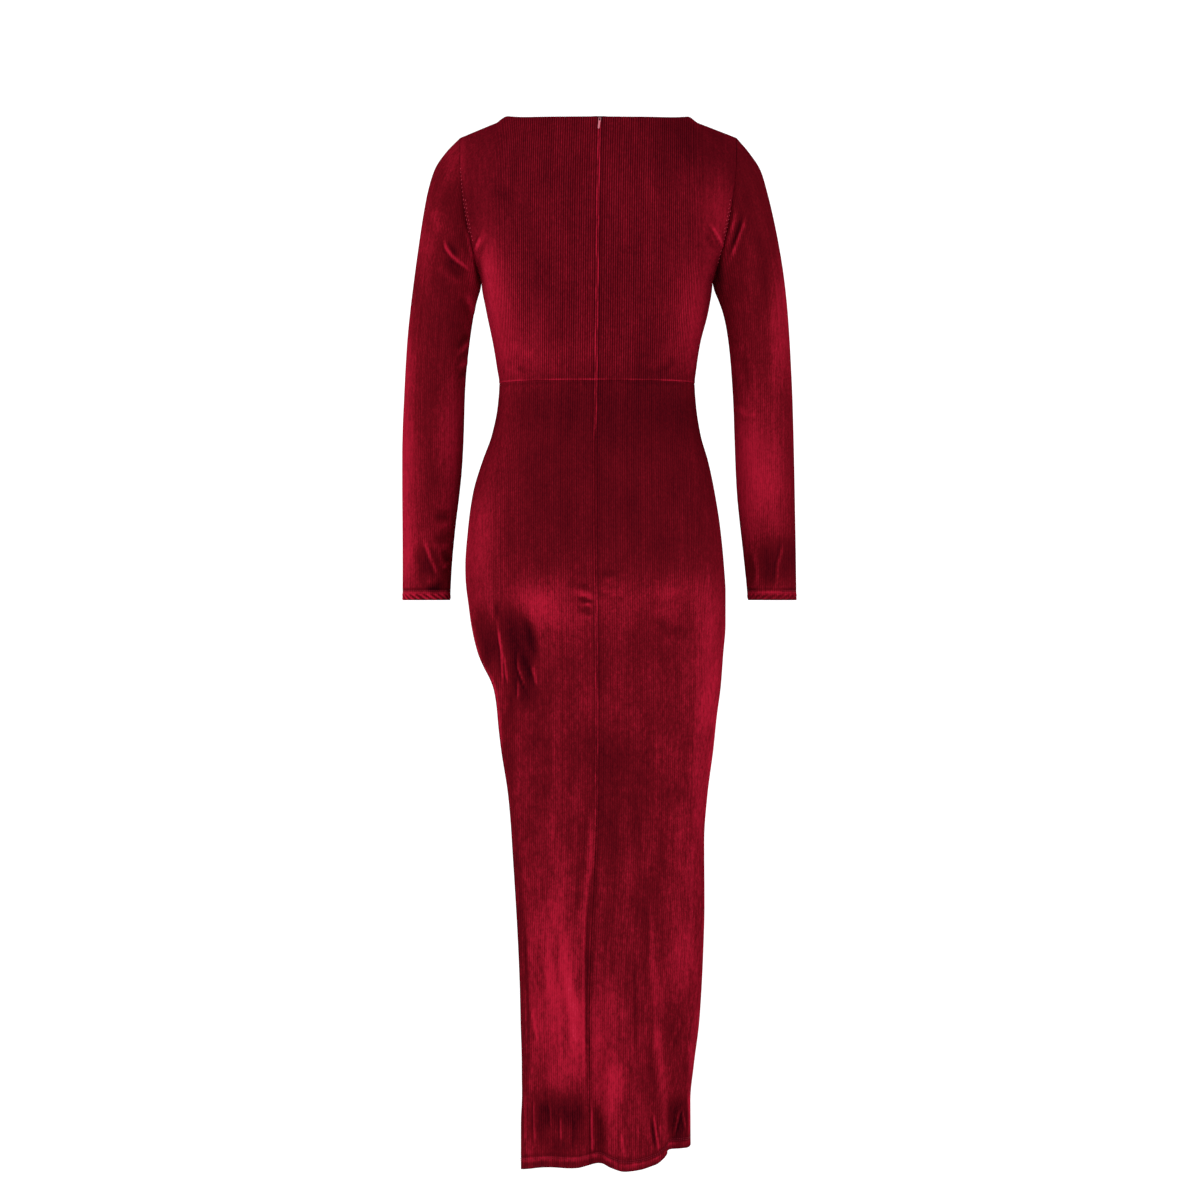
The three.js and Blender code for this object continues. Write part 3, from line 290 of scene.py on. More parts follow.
# Creases of each piece and half: points of the line across and up, half width, height off the cloth and
# the painted highlight along it, with painted shade on one flank
CREASE_COLUMNS = ("line", "wide", "rise", "painted_sheen_and_shade")
CREASES = {
    ("sleeve_left", "back"): [
        (((198, -152), (193, -168), (184, -180), (173, -188), (161, -196)), 1.8, 2.4, 0.6),
        (((193, -156), (187, -168), (178, -178)), 3, -1.6, -0.3),
        (((195, -180), (184, -195), (168, -205)), 5, -2, -0.24),
        (((169, -136), (164, -160), (158, -184)), 2.6, 1.4, 0.34),
        (((214, -110), (205, -130), (200, -152)), 6, 1.2, 0.14),
        (((171, -222), (163, -236), (157, -252)), 4, 1, 0.26),
        (((182, -304), (174, -296), (166, -283)), 2.2, 1.2, 0.24),
        (((180, -320), (172, -314), (164, -304)), 2.2, 1.1, 0.22),
        (((180, -296), (172, -286), (166, -272)), 2.6, -1.1, -0.24),
        (((179, -332), (172, -326), (165, -320)), 2.2, -1, -0.2),
        (((200, -522), (196, -528), (190, -526)), 2.4, 0.9, 0.26),
        (((210, -508), (200, -514), (189, -512)), 4, -1.2, -0.26),
        (((212, -536), (202, -542), (190, -540)), 4, -1.2, -0.2),
        (((226, -536), (215, -566), (204, -594)), 2, 1.5, 0.4),
        (((236, -540), (229, -568), (222, -592)), 6, -1, -0.16),
        (((202, -577), (197, -575), (190, -570)), 1.8, 0.9, 0.3),
        (((199, -552), (196, -562), (192, -574)), 3, -1.4, -0.3),
        (((222, -605), (208, -605), (196, -596)), 4.5, -0.8, -0.34),
        (((224, -594), (214, -595), (206, -590)), 4, 0.6, 0.18),
    ],
    ("sleeve_right", "back"): [
        (((-193, -121), (-186, -142), (-178, -164), (-169, -186)), 1.8, 1.7, 0.45),
        (((-185, -126), (-179, -146), (-171, -168)), 2.6, -1.6, -0.26),
        (((-178, -112), (-176, -130), (-170, -150)), 1.6, 0.8, 0.26),
        (((-207, -133), (-214, -190), (-219, -250)), 8, -0.8, -0.12),
        (((-181, -296), (-192, -326), (-194, -356)), 4, -1.1, -0.1),
        (((-178, -366), (-192, -380), (-210, -382)), 3, 0.9, 0.1),
        (((-243, -538), (-234, -572), (-231, -608)), 1.8, 0.8, 0.3),
        (((-202, -552), (-207, -578), (-206, -604)), 2.4, 0.8, 0.24),
        (((-214, -548), (-220, -575), (-222, -604)), 4, -1, -0.05),
        (((-200, -604), (-222, -608), (-246, -604)), 3, 0.9, 0.2),
    ],
    ("back_bodice_left", "back"): [
        (((147, -152), (152, -160), (157, -170)), 1.7, 1.5, 0.5),
        (((141, -158), (147, -166), (152, -178)), 3, -1.3, -0.14),
        (((116, -288), (98, -300), (78, -311)), 2.6, 0.7, 0.12),
        (((122, -309), (100, -322), (84, -331)), 2.6, -0.7, -0.14),
        (((104, -112), (118, -100), (136, -94)), 6, -0.8, -0.08),
    ],
    ("back_bodice_right", "back"): [
        (((-143, -137), (-153, -150), (-161, -162), (-163, -171)), 1.7, 1.6, 0.46),
        (((-136, -150), (-146, -160), (-152, -172)), 3, -1.4, -0.16),
        (((-104, -306), (-88, -320), (-70, -332)), 3, -0.7, -0.12),
    ],
    ("back_skirt_left", "back"): [
        (((129, -645), (124.6, -667), (121.8, -686), (121, -706), (120.4, -734)), 1.3, 1.6, 0.6),
        (((120, -684), (116.8, -704), (114, -730)), 1.3, 1.1, 0.46),
        (((143, -648), (139, -675), (132, -700)), 8, -1.6, -0.1),
        (((76, -696), (85, -660), (94.6, -634)), 4, -2, -0.2),
        (((112, -640), (107, -664), (104, -690)), 6, -1.2, -0.06),
        (((101.2, -682), (100.6, -705), (95.7, -718), (88, -734)), 1.4, 1.2, 0.5),
        (((101.2, -718), (100.6, -732), (101, -748)), 1.3, 0.9, 0.42),
        (((83.5, -698), (80, -712), (76, -730)), 2, 1, 0.36),
        (((112, -728), (110, -748), (110, -772)), 4, -1.3, -0.16),
        (((93, -690), (89, -708), (84, -722)), 3.2, -1, -0.16),
        (((129, -622), (128.6, -633), (126, -644)), 2.6, -0.6, -0.26),
        (((27, -609), (14, -613.5), (3, -617)), 2.2, 1.3, 0.42),
        (((16, -623), (10, -625.5), (3, -627.5)), 1.7, 0.9, 0.3),
        (((24, -619), (12, -621), (3, -622.5)), 2, -1, -0.22),
        (((28, -631), (14, -634), (3, -636)), 3, -1, -0.18),
        (((40, -600), (22, -602), (4, -605)), 3.4, -1, -0.16),
        (((4, -860), (9, -950), (18, -1010), (24, -1050)), 4.5, 1.7, 0.24),
        (((6, -960), (10.5, -1000), (13, -1060), (13, -1120), (12, -1260)), 1.9, -2.2, -0.34),
        (((43, -1030), (40, -1095), (32, -1131), (29, -1172), (30, -1220)), 5, 1.6, 0.26),
        (((27, -1090), (26, -1110), (26, -1132)), 4, -0.8, -0.2),
        (((96, -1000), (91, -1080), (88, -1160), (88, -1240)), 1.5, -0.9, -0.26),
        (((85, -1138), (80, -1160), (75.5, -1184)), 1.7, 0.9, 0.28),
        (((66, -1040), (62, -1090), (58, -1130)), 5, 0.9, 0.12),
        (((92, -880), (84, -960), (80, -1040)), 8, -2, -0.1),
        (((81, -1252), (80, -1290), (79, -1320)), 1.1, 0.9, 0.4),
        (((93, -1240), (92, -1280), (92, -1318)), 1.6, 0.6, 0.2),
        (((61, -1256), (59, -1276), (58, -1296)), 1.1, 0.7, 0.32),
        (((47, -1274), (46, -1292), (46, -1312)), 1.1, 0.6, 0.32),
        (((31, -1270), (30, -1292), (32, -1322)), 1.6, -0.8, -0.18),
    ],
    ("back_skirt_right", "back"): [
        (((-2, -592), (-14, -584), (-28, -589)), 3.2, -1.2, -0.2),
        (((-4, -604), (-20, -612), (-38, -612)), 2.6, 0.9, 0.14),
        (((-58, -606), (-84, -612), (-112, -606)), 5, 0.9, 0.1),
        (((-66, -646), (-92, -660), (-122, -662)), 6, -1.5, -0.1),
        (((-48, -860), (-54, -950), (-50, -1040)), 7, -1.6, -0.12),
        (((-68, -985), (-71, -1086), (-76, -1160)), 3.6, 1.2, 0.18),
        (((-74, -1150), (-78, -1200), (-83, -1256)), 4.5, 1.4, 0.2),
        (((-48, -1060), (-48, -1130), (-49, -1220)), 1.6, -0.8, -0.16),
        (((-96, -1140), (-101, -1165), (-99, -1196)), 9, -1.7, -0.07),
        (((-92, -1192), (-102, -1172), (-112, -1150)), 1.8, 0.7, 0.16),
        (((-118, -1180), (-120, -1210), (-119, -1240)), 3, 0.9, 0.2),
        (((7.6, -1250), (7, -1290), (6.3, -1330)), 1.2, 1.1, 0.5),
        (((2.5, -1250), (-1.5, -1290), (-3, -1332)), 4, -1.3, -0.26),
        (((-19, -1200), (-20, -1260), (-22, -1332)), 8, 1.3, 0.16),
        (((-30.6, -1288), (-32, -1312), (-37, -1332)), 1.6, 0.8, 0.26),
        (((-52, -1282), (-52, -1300), (-52, -1316)), 1.2, 0.5, 0.2),
        (((-71.5, -1270), (-75.6, -1303), (-80, -1326)), 1.4, 1.2, 0.5),
        (((-68.5, -1280), (-71, -1300), (-74, -1320)), 1.8, -0.9, -0.26),
        (((-79, -1282), (-80.5, -1294), (-81, -1308)), 1.5, 0.8, 0.3),
        (((-85, -1260), (-86, -1290), (-88, -1322)), 4, 0.9, 0.16),
        (((-98, -1310), (-103, -1290), (-108, -1268)), 1.3, 1, 0.5),
        (((-107, -1266), (-111, -1284), (-115, -1304)), 1.3, 0.9, 0.46),
        (((-118, -1244), (-119, -1280), (-119, -1318)), 1.8, 0.6, 0.4),
    ],
    ("sleeve_left", "front"): [
        (((200, -146), (186, -172), (166, -194)), 3, 1.8, 0.3),
        (((206, -162), (190, -188), (172, -206)), 4.5, -2, -0.24),
        (((176, -372), (196, -386), (218, -384)), 4, -2, -0.24),
        (((177, -388), (196, -398), (214, -400)), 3, 1.3, 0.2),
        (((178, -404), (198, -412), (222, -408)), 3.6, -1.6, -0.2),
        (((192, -548), (212, -562), (230, -560)), 3, -1.3, -0.2),
        (((196, -574), (216, -584), (238, -578)), 2.6, 1, 0.2),
    ],
    ("sleeve_right", "front"): [
        (((-196, -144), (-184, -170), (-166, -190)), 3, 1.7, 0.3),
        (((-208, -158), (-192, -186), (-172, -208)), 4.5, -2, -0.24),
        (((-182, -368), (-200, -384), (-224, -386)), 4, -1.9, -0.24),
        (((-184, -392), (-200, -400), (-220, -398)), 3, 1.2, 0.18),
        (((-190, -552), (-214, -560), (-236, -552)), 3, -1.3, -0.2),
        (((-198, -580), (-220, -588), (-240, -586)), 2.6, 1, 0.18),
    ],
    ("front_bodice", "front"): [
        (((152, -174), (132, -190), (104, -208)), 5, -1.9, -0.2),
        (((148, -190), (130, -206), (112, -230)), 3.4, 1.4, 0.24),
        (((-153, -170), (-134, -186), (-108, -202)), 5, -1.9, -0.2),
        (((-147, -194), (-126, -214), (-110, -238)), 3.4, 1.3, 0.22),
        (((128, -284), (98, -300), (64, -306)), 4.5, -1.3, -0.14),
        (((-126, -288), (-92, -306), (-58, -314)), 4.5, -1.3, -0.14),
        (((44, -272), (2, -286), (-38, -276)), 7, 0.9, 0.1),
    ],
    ("front_skirt", "front"): [
        (((138, -428), (108, -448), (70, -458)), 6, -1.7, -0.16),
        (((-132, -424), (-100, -440), (-58, -446)), 6, -1.7, -0.16),
        (((118, -470), (80, -486), (36, -484)), 6, 1, 0.12),
        (((-110, -462), (-68, -482), (-26, -490)), 6, 1, 0.12),
        (((52, -520), (6, -530), (-44, -518)), 7, -1.3, -0.12),
        (((138, -640), (128, -690), (122, -748)), 3.4, 1.8, 0.36),
        (((124, -640), (114, -700), (110, -770)), 5, -2.2, -0.3),
        (((110, -660), (98, -720), (92, -800)), 4, 1.4, 0.22),
        (((86, -860), (78, -960), (76, -1060)), 8, -2.2, -0.14),
        (((-60, -840), (-56, -950), (-60, -1050)), 8, -2.2, -0.14),
        (((-96, -900), (-92, -1000), (-94, -1090)), 6, 1.5, 0.14),
        (((84, -1236), (82, -1280), (83, -1326)), 2.6, -1.5, -0.26),
        (((58, -1250), (57, -1290), (54, -1330)), 2.4, 1.1, 0.2),
        (((-48, -1226), (-50, -1276), (-48, -1326)), 3, -1.5, -0.22),
        (((-86, -1240), (-89, -1280), (-90, -1322)), 2.6, 1.1, 0.2),
    ],
}

FACING = {"back": 1, "front": -1}
SIGN = {"left": 1, "right": -1}


def mix(a, b, t):
    return a + (b - a) * t


def ease(t):
    t = np.clip(t, 0, 1)
    return t * t * (3 - 2 * t)


def hill(t):
    return np.exp(-0.5 * t * t)


def ramp(value, start, run):
    """0 up to start, 1 from a run beyond it, and smooth between."""
    return ease((value - start) / run)


def ridges(distance, rows):
    """Rounded ridges beside a line, or grooves: each row's distance from it, half width and height."""
    return sum(high * hill((distance - at) / wide) for at, wide, high in rows)


def waves(along, rows):
    """Sum of waves: the run of each row's wave over one radian, its start in radians and its height."""
    return sum(high * np.sin(along / long + turn) for long, turn, high in rows)


def running_total(steps):
    return np.concatenate([[0], np.cumsum(steps)])


def sampled(at, places, points):
    """Points at the given places along a row of points."""
    return np.stack([np.interp(at, places, points[:, i]) for i in range(3)], axis=-1)


def unit(vectors):
    return vectors / np.maximum(np.linalg.norm(vectors, axis=-1, keepdims=True), 1e-12)


def lobe_rise(half, x, z):
    return sum(
        lobe["rise"] * hill((x - lobe["x"]) / lobe["wide"]) * hill((z - lobe["z"]) / lobe["tall"])
        for lobe in LOBES if lobe["half"] == half
    )


def fold_rise(half, x, z):
    rise = np.zeros_like(x)
    for fold in FOLDS:
        if fold["half"] == half:
            along = np.clip((fold["start_z"] - z) / (fold["start_z"] - SIDE_HEM_Z), 0, None)
            middle = mix(fold["start_x"], fold["hem_x"], along)
            rise += fold["rise"] * ease(along) * hill((x - middle) / fold["wide"])
    if half == "back":
        grown = ease((RECESS["start_z"] - z) / (RECESS["start_z"] - RECESS["full_z"]))
        into = ease((RECESS["step_x"] - x) / RECESS["step_wide"])
        out = ease((RECESS["end_x"] - x) / RECESS["end_wide"])
        rise -= RECESS["depth"] * grown * (into - out)
    return rise


def signed_power(value, power):
    return np.sign(value) * np.abs(value) ** power


def form_point(half, z, angle):
    """Outer face of the cloth below the underarm: angle 0 is the left side, pi the right side."""
    power = BODY["power"](z)
    depth = BODY[half](z)
    across = np.cos(angle)
    reach = np.where(across >= 0, BODY["left"](z), BODY["right"](z))
    x = reach * signed_power(across, 2 / power)
    y = depth * np.abs(np.sin(angle)) ** (2 / power)
    normal_x = signed_power(x / reach, power - 1) / reach
    normal_y = (y / depth) ** (power - 1) / depth
    size = np.hypot(normal_x, normal_y)
    rise = fold_rise(half, x, z)
    out_y = y + normal_y / size * rise + lobe_rise(half, x, z)
    return np.stack([x + normal_x / size * rise, FACING[half] * out_y, z + 0 * x], axis=-1)


def run_length(points):
    """Distance along a row seen from above, which is how the wales are spaced."""
    return running_total(np.hypot(np.diff(points[:, 0]), np.diff(points[:, 1])))


RING_SAMPLES = 1400


def ring_row(half, z, start_x, end, hem_share=0.0):
    """Part of a ring from a place across the back or front to one of its ends.

    end is "left" or "right" for a side seam, or a number for a place across on the left.
    """
    angle = np.linspace(0, math.pi, RING_SAMPLES)
    level = np.full(RING_SAMPLES, float(z))
    plain = form_point(half, level, angle)
    if hem_share > 0:
        level = level + (HEM_EDGE[half](plain[:, 0]) - SIDE_HEM_Z) * hem_share**3
        plain = form_point(half, level, angle)
    base_x = BODY["left"](z) * signed_power(np.cos(angle), 2 / BODY["power"](z))
    base_x = np.where(angle > math.pi / 2, base_x / BODY["left"](z) * BODY["right"](z), base_x)
    first = np.interp(-start_x, -base_x, angle)
    if end == "left":
        last = 0.0
    elif end == "right":
        last = math.pi
    else:
        last = np.interp(-end, -base_x, angle)
    return sampled(np.linspace(first, last, RING_SAMPLES), angle, plain)


def slit_x(z):
    """Place of the slit's edge across, or the side seam above the slit."""
    if z >= SLIT_TOP_Z:
        return "left"
    if z <= SLIT_START_Z:
        return float(SLIT_EDGE(z))
    grown = (SLIT_TOP_Z - z) / (SLIT_TOP_Z - SLIT_START_Z)
    edge = float(SLIT_EDGE(SLIT_START_Z))
    side = float(BODY["left"](z))
    return side - (side - edge) * grown**2


def skirt_row(name, z):
    share = (z - WAIST_Z) / (SIDE_HEM_Z - WAIST_Z)
    half = "front" if name == "front_skirt" else "back"
    if name == "back_skirt_left":
        return ring_row(half, z, float(CENTRE_BACK(z)) + HALF_GAP, slit_x(z), share)
    if name == "back_skirt_right":
        return ring_row(half, z, float(CENTRE_BACK(z)) - HALF_GAP, "right", share)
    left = ring_row(half, z, 0.0, slit_x(z), share)
    right = ring_row(half, z, 0.0, "right", share)
    return np.concatenate([left[::-1], right[1:]])


def ridge_height(side, x):
    tip = ARMHOLE[side]["tip_x"]
    shoulder = mix(NECK_CORNER_Z, SHOULDER_TIP_Z, (x - NECK_CORNER_X) / (tip - NECK_CORNER_X))
    return np.where(x <= NECK_CORNER_X, NECK_RIDGE["z"](x), shoulder)


def top_height(side, half, x):
    return np.where(x >= NECK_CORNER_X, ridge_height(side, x), NECK_EDGE[half](x))


def shoulder_round(fall):
    left = np.clip(1 - fall / SHOULDER_ROUND, 0, 1)
    return np.sqrt(1 - left * left)


# The armhole's seam between the underarm and the shoulder tip, and how the yoke is fitted to it
ARMHOLE_MIDDLE_Z = (SHOULDER_TIP_Z + UNDERARM_Z) / 2
ARMHOLE_SWING_Z = (SHOULDER_TIP_Z - UNDERARM_Z) / 2
FIT_BELOW_TIP = 0.5
FULLEST_FIT = 0.9
YOKE_SAMPLES = 900
ROWS_TO_ENDS = 0.2


def armhole_point(side, half, angle):
    """Place on the armhole's seam: angle 0 is the shoulder tip, pi the underarm."""
    cut = ARMHOLE[side]
    middle_x = (cut["tip_x"] + cut["under_x"]) / 2
    swing_x = (cut["tip_x"] - cut["under_x"]) / 2
    x = middle_x + swing_x * np.cos(angle) + cut["swell"] * np.sin(angle) ** 2
    return x, cut[half] * np.sin(angle), ARMHOLE_MIDDLE_Z + ARMHOLE_SWING_Z * np.cos(angle)


def yoke_depth(side, half, x, z):
    """Depth of the cloth above the underarm, fitted so that it passes through the armhole seam."""
    level = np.minimum(z, SHOULDER_TIP_Z - FIT_BELOW_TIP)
    turn = np.arccos(np.clip((level - ARMHOLE_MIDDLE_Z) / ARMHOLE_SWING_Z, -1, 1))
    edge_x, edge_y, _ = armhole_point(side, half, turn)
    power = BODY["power"](z)
    depth = BODY[half](z)
    wanted = np.abs(edge_y) / shoulder_round(ridge_height(side, edge_x) - level)
    wide = edge_x / (1 - np.minimum(FULLEST_FIT, wanted / depth) ** power) ** (1 / power)
    across = np.abs(x)
    full = depth * (1 - np.minimum(1, across / wide) ** power) ** (1 / power)
    start = NECK_RIDGE["behind"](across) if half == "back" else 0
    fall = np.maximum(0, ridge_height(side, across) - z)
    return start + (full - start) * shoulder_round(fall) + lobe_rise(half, x, z)


def yoke_row(side, half, share):
    """One row of the bodice above the underarm, from the middle to the armhole."""
    turn = math.pi * (1 - share)
    edge = armhole_point(side, half, turn + ROWS_TO_ENDS * math.sin(2 * turn))
    tip = ARMHOLE[side]["tip_x"]
    edge_rise = (edge[2] - UNDERARM_Z) / (SHOULDER_TIP_Z - UNDERARM_Z)
    f = 1 - (1 - np.linspace(0, 1, YOKE_SAMPLES)) ** 2
    top = top_height(side, half, f * tip)
    z = UNDERARM_Z + (top - UNDERARM_Z) * mix(share, edge_rise, ease(f))
    middle = CENTRE_BACK(z) + SIGN[side] * HALF_GAP if half == "back" else 0 * z
    x = mix(middle, SIGN[side] * edge[0], f)
    y = FACING[half] * yoke_depth(side, half, x, z)
    row = np.stack([x, y, z], axis=-1)
    row[-1] = (SIGN[side] * edge[0], FACING[half] * edge[1], edge[2])
    return row


def bodice_row(name, level):
    """Row of a bodice piece: level is a height below the underarm, or a share of the armhole above it."""
    half = "front" if name == "front_bodice" else "back"
    if level < 0:
        if name == "back_bodice_left":
            return ring_row(half, level, float(CENTRE_BACK(level)) + HALF_GAP, "left")
        if name == "back_bodice_right":
            return ring_row(half, level, float(CENTRE_BACK(level)) - HALF_GAP, "right")
        left = ring_row(half, level, 0.0, "left")
        right = ring_row(half, level, 0.0, "right")
    else:
        if half == "back":
            return yoke_row(name.rsplit("_", 1)[1], half, level)
        left = yoke_row("left", half, level)
        right = yoke_row("right", half, level)
    return np.concatenate([left[::-1], right[1:]])


SLEEVE_SAMPLES = 1201
NARROWEST_TURN = 30
WIDEST_TURN = 40
LEAST_STEP = 1e-4


def sleeve_row(side, ring):
    """Ring of a sleeve from the underarm seam round the front, the outer line and the back."""
    form = {name: float(curve(ring)) for name, curve in SLEEVE[side].items()}
    angle = np.linspace(-math.pi, math.pi, SLEEVE_SAMPLES)
    swell = ARMHOLE[side]["swell"] * max(0.0, 1 - ring)
    swing_x = (form["out_x"] - form["in_x"]) / 2
    swing_z = (form["out_z"] - form["in_z"]) / 2
    x = (form["out_x"] + form["in_x"]) / 2 + swing_x * np.cos(angle) + swell * np.sin(angle) ** 2
    z = (form["out_z"] + form["in_z"]) / 2 + swing_z * np.cos(angle)
    deep = np.where(angle > 0, form["back"], form["front"])
    y = form["mid_y"] + deep * np.sin(angle)
    return np.stack([SIGN[side] * x, y, z], axis=-1)


def sleeve_places(side, row):
    """Place of each point round the sleeve from its outer line, in the way the wales run."""
    by_height = SLEEVE[side]["out_z"].values
    rings = np.interp(row[:, 2], by_height[::-1], np.arange(len(by_height))[::-1])
    outer = SLEEVE[side]["out_x"](rings)
    wide = np.clip((outer - SLEEVE[side]["in_x"](rings)) / 2, NARROWEST_TURN, WIDEST_TURN)
    deep = SLEEVE[side]["back"](rings)
    mid_y = SLEEVE[side]["mid_y"](rings)
    turn = np.arctan2(np.abs(row[:, 1] - mid_y) / deep, (np.abs(row[:, 0]) - outer + wide) / wide)
    half_way = len(row) // 2
    turn[: half_way + 1] = np.maximum.accumulate(turn[half_way::-1])[::-1]
    turn[half_way:] = np.maximum.accumulate(turn[half_way:])
    place = turn * (wide + deep) / 2
    place[:half_way] *= -1
    order = np.arange(len(place)) * LEAST_STEP
    return place + order - order[half_way]


# Steps of the rows close to a free edge and to a seam
EDGE_STEPS = (0, 0.5, 1.1, 1.9, 3, 4.5, 6, 7.5, 9, 10, 11, 11.6, 12.4, 13, 13.6, 15)
SEAM_STEPS = (0.15, 0.8, 1.5, 2.4, 3.6, 5.4, 8, 11.5)


def spread(*spans):
    """Levels of one or more spans, each from its start to its end in about the given step."""
    levels = []
    for start, end, step in spans:
        levels += np.linspace(start, end, max(1, round(abs(end - start) / step)) + 1).tolist()
    return levels


# Rows of each piece: heights, or above the underarm shares of the armhole, or the rings of a sleeve
SKIRT_LEVELS = [
    *(WAIST_Z - step for step in SEAM_STEPS),
    *spread((-354, -586, 9), (-592, -640, 4), (-645, -760, 5.5), (-769, -1250, 11), (-1257, -1307, 6)),
    *(SIDE_HEM_Z + step for step in reversed(EDGE_STEPS)),
]
BODICE_LEVELS = [
    *(WAIST_Z + step for step in SEAM_STEPS),
    *spread((-322, -216, 8.5)),
    -210, -207.6,
    *spread((0, 0.2, 0.025), (0.22, 0.36, 0.018), (0.39, 0.93, 0.036)),
    0.945, 0.958, 0.969, 0.978, 0.985, 0.991, 0.9955, 1.0,
]
SLEEVE_LEVELS = [
    0.006, 0.03, 0.06, 0.1, 0.16, 0.25, 0.4, 0.6, 0.8,
    *spread((1, 6, 0.125), (6.2, 9.6, 0.26), (9.8, 11.8, 0.1), (12, 15.6, 0.36), (15.8, 18.1, 0.15)),
    *(LAST_RING - step / CUFF_RING_TALL for step in reversed(EDGE_STEPS)),
]


def edges_of(count):
    """Each row's distance from the hem or cuff, or None for rows far from it."""
    return [None] * (count - len(EDGE_STEPS)) + list(reversed(EDGE_STEPS))


NECK_NEAR = 0.9
SKIRT_EDGES = edges_of(len(SKIRT_LEVELS))
SLEEVE_EDGES = edges_of(len(SLEEVE_LEVELS) + 1)
BODICE_EDGES = [(1 - level) * -UNDERARM_Z if level > NECK_NEAR else None for level in BODICE_LEVELS]

TUCK_IN = 1.8
TUCK_ACROSS = 1.6


def tucked_row(side, row):
    """Seam allowance of the sleeve head, turned in behind the armhole."""
    tucked = row + (row.mean(axis=0) - row) * (TUCK_IN / ARMHOLE[side]["back"])
    tucked[:, 0] -= SIGN[side] * TUCK_ACROSS
    return tucked


WALE_COLUMN = WALE_PITCH / COLUMNS_A_WALE
LEAST_COLUMN = 0.4


def columns_of(row, place):
    """Points of a row at the wale columns, with its exact ends, and the number of its first column."""
    first = math.ceil(place[0] / WALE_COLUMN + LEAST_COLUMN)
    last = math.floor(place[-1] / WALE_COLUMN - LEAST_COLUMN)
    at = np.concatenate([place[:1], np.arange(first, last + 1) * WALE_COLUMN, place[-1:]])
    return sampled(at, place, row), at, first


def strip(a, a_at, b, b_at):
    """Triangles between two neighbouring rows of points, each in order of place."""
    faces = []
    i = 0
    j = 0
    while i < len(a) - 1 or j < len(b) - 1:
        if j == len(b) - 1 or (i < len(a) - 1 and a_at[i + 1] <= b_at[j + 1]):
            faces.append((a[i], a[i + 1], b[j]))
            i += 1
        else:
            faces.append((a[i], b[j + 1], b[j]))
            j += 1
    return faces


def layer_faces(ids, places, firsts):
    """Faces of one layer: squares where two rows share their columns, and fans at the uneven ends."""
    faces = []
    for j in range(len(ids) - 1):
        a, b = ids[j], ids[j + 1]
        start = max(firsts[j][0], firsts[j + 1][0])
        end = min(firsts[j][1], firsts[j + 1][1])
        if end <= start:
            faces += strip(a, places[j], b, places[j + 1])
            continue
        a0 = 1 + start - firsts[j][0]
        b0 = 1 + start - firsts[j + 1][0]
        count = end - start
        for i in range(count):
            faces.append((a[a0 + i], a[a0 + i + 1], b[b0 + i + 1], b[b0 + i]))
        faces += strip(a[: a0 + 1], places[j][: a0 + 1], b[: b0 + 1], places[j + 1][: b0 + 1])
        a1 = a0 + count
        b1 = b0 + count
        faces += strip(a[a1:], places[j][a1:], b[b1:], places[j + 1][b1:])
    return faces


CREASE_FADE = 0.3
HALF_FADE = 12
# Painted shade on one flank of each crease: how far out it lies in half widths, and its share of the
# highlight
SHADED_FLANK_AT = 1.7
SHADED_FLANK_SHARE = 0.55


def nearest_on_line(points, line):
    """Each point's distance from a line, the share of the line passed there, and the side it is on."""
    runs = np.diff(line, axis=0)
    lengths = np.linalg.norm(runs, axis=1)
    passed = running_total(lengths)
    best = np.full(len(points), np.inf)
    share = np.zeros(len(points))
    side = np.zeros(len(points))
    for start, run, length, before in zip(line, runs, lengths, passed):
        offset = points - start
        along = np.clip(offset @ run / length**2, 0, 1)
        apart = np.linalg.norm(offset - along[:, None] * run, axis=1)
        nearer = apart < best
        best = np.where(nearer, apart, best)
        share = np.where(nearer, (before + along * length) / passed[-1], share)
        turned = np.sign(run[0] * offset[:, 1] - run[1] * offset[:, 0])
        side = np.where(nearer, turned, side)
    return best, share, side


def crease_field(piece, points):
    """Creases' height and painted highlight and shade at each point, on the crease's own half of the piece.
    """
    rise = np.zeros(len(points))
    painted_sheen_and_shade = np.zeros(len(points))
    for half, sense in FACING.items():
        on_half = ease(0.5 + sense * points[:, 1] / HALF_FADE)
        for crease in records(CREASE_COLUMNS, CREASES.get((piece, half), ())):
            apart, share, side = nearest_on_line(points[:, (0, 2)], np.array(crease["line"], float))
            own = on_half * ease(share / CREASE_FADE) * ease((1 - share) / CREASE_FADE)
            crown = hill(apart / crease["wide"])
            shaded_flank = hill(apart * side / crease["wide"] - SHADED_FLANK_AT)
            rise += crease["rise"] * own * crown
            # Painted highlight on the crease and painted shade on one flank
            painted_sheen_and_shade += crease["painted_sheen_and_shade"] * own * (crown - SHADED_FLANK_SHARE * shaded_flank)
    return rise, painted_sheen_and_shade


def from_centre_back(name, at):
    """Distance along the cloth from the centre back seam, below 0 on the right half."""
    return at - at[0 if name.endswith("left") else -1]


def from_ends(at):
    """Distance along the cloth from the nearer end of the row."""
    return np.minimum(at - at[0], at[-1] - at)


# Small uneven gathers beside the waist seam
PUCKERS = ((17.3, 0.4, 0.14), (29.1, 1.9, 0.12), (11.7, 4.1, 0.08))
PUCKER_REACH = 9

# Soft relief beside the centre back seam, along the zip and below it
LIP_FADE = 12
ZIP_LIPS = ((4.2, 2.4, 0.75), (0, 1.6, -0.7))
PLAIN_LIPS = ((4, 2.6, 0.35),)
RIPPLE_LONG = 7.3
RIPPLE = ((6, 5, 0.4),)
ZIP_BUMP_Z = -406
ZIP_BUMP_TALL = 7
ZIP_BUMP = ((0, 5, 1.3),)


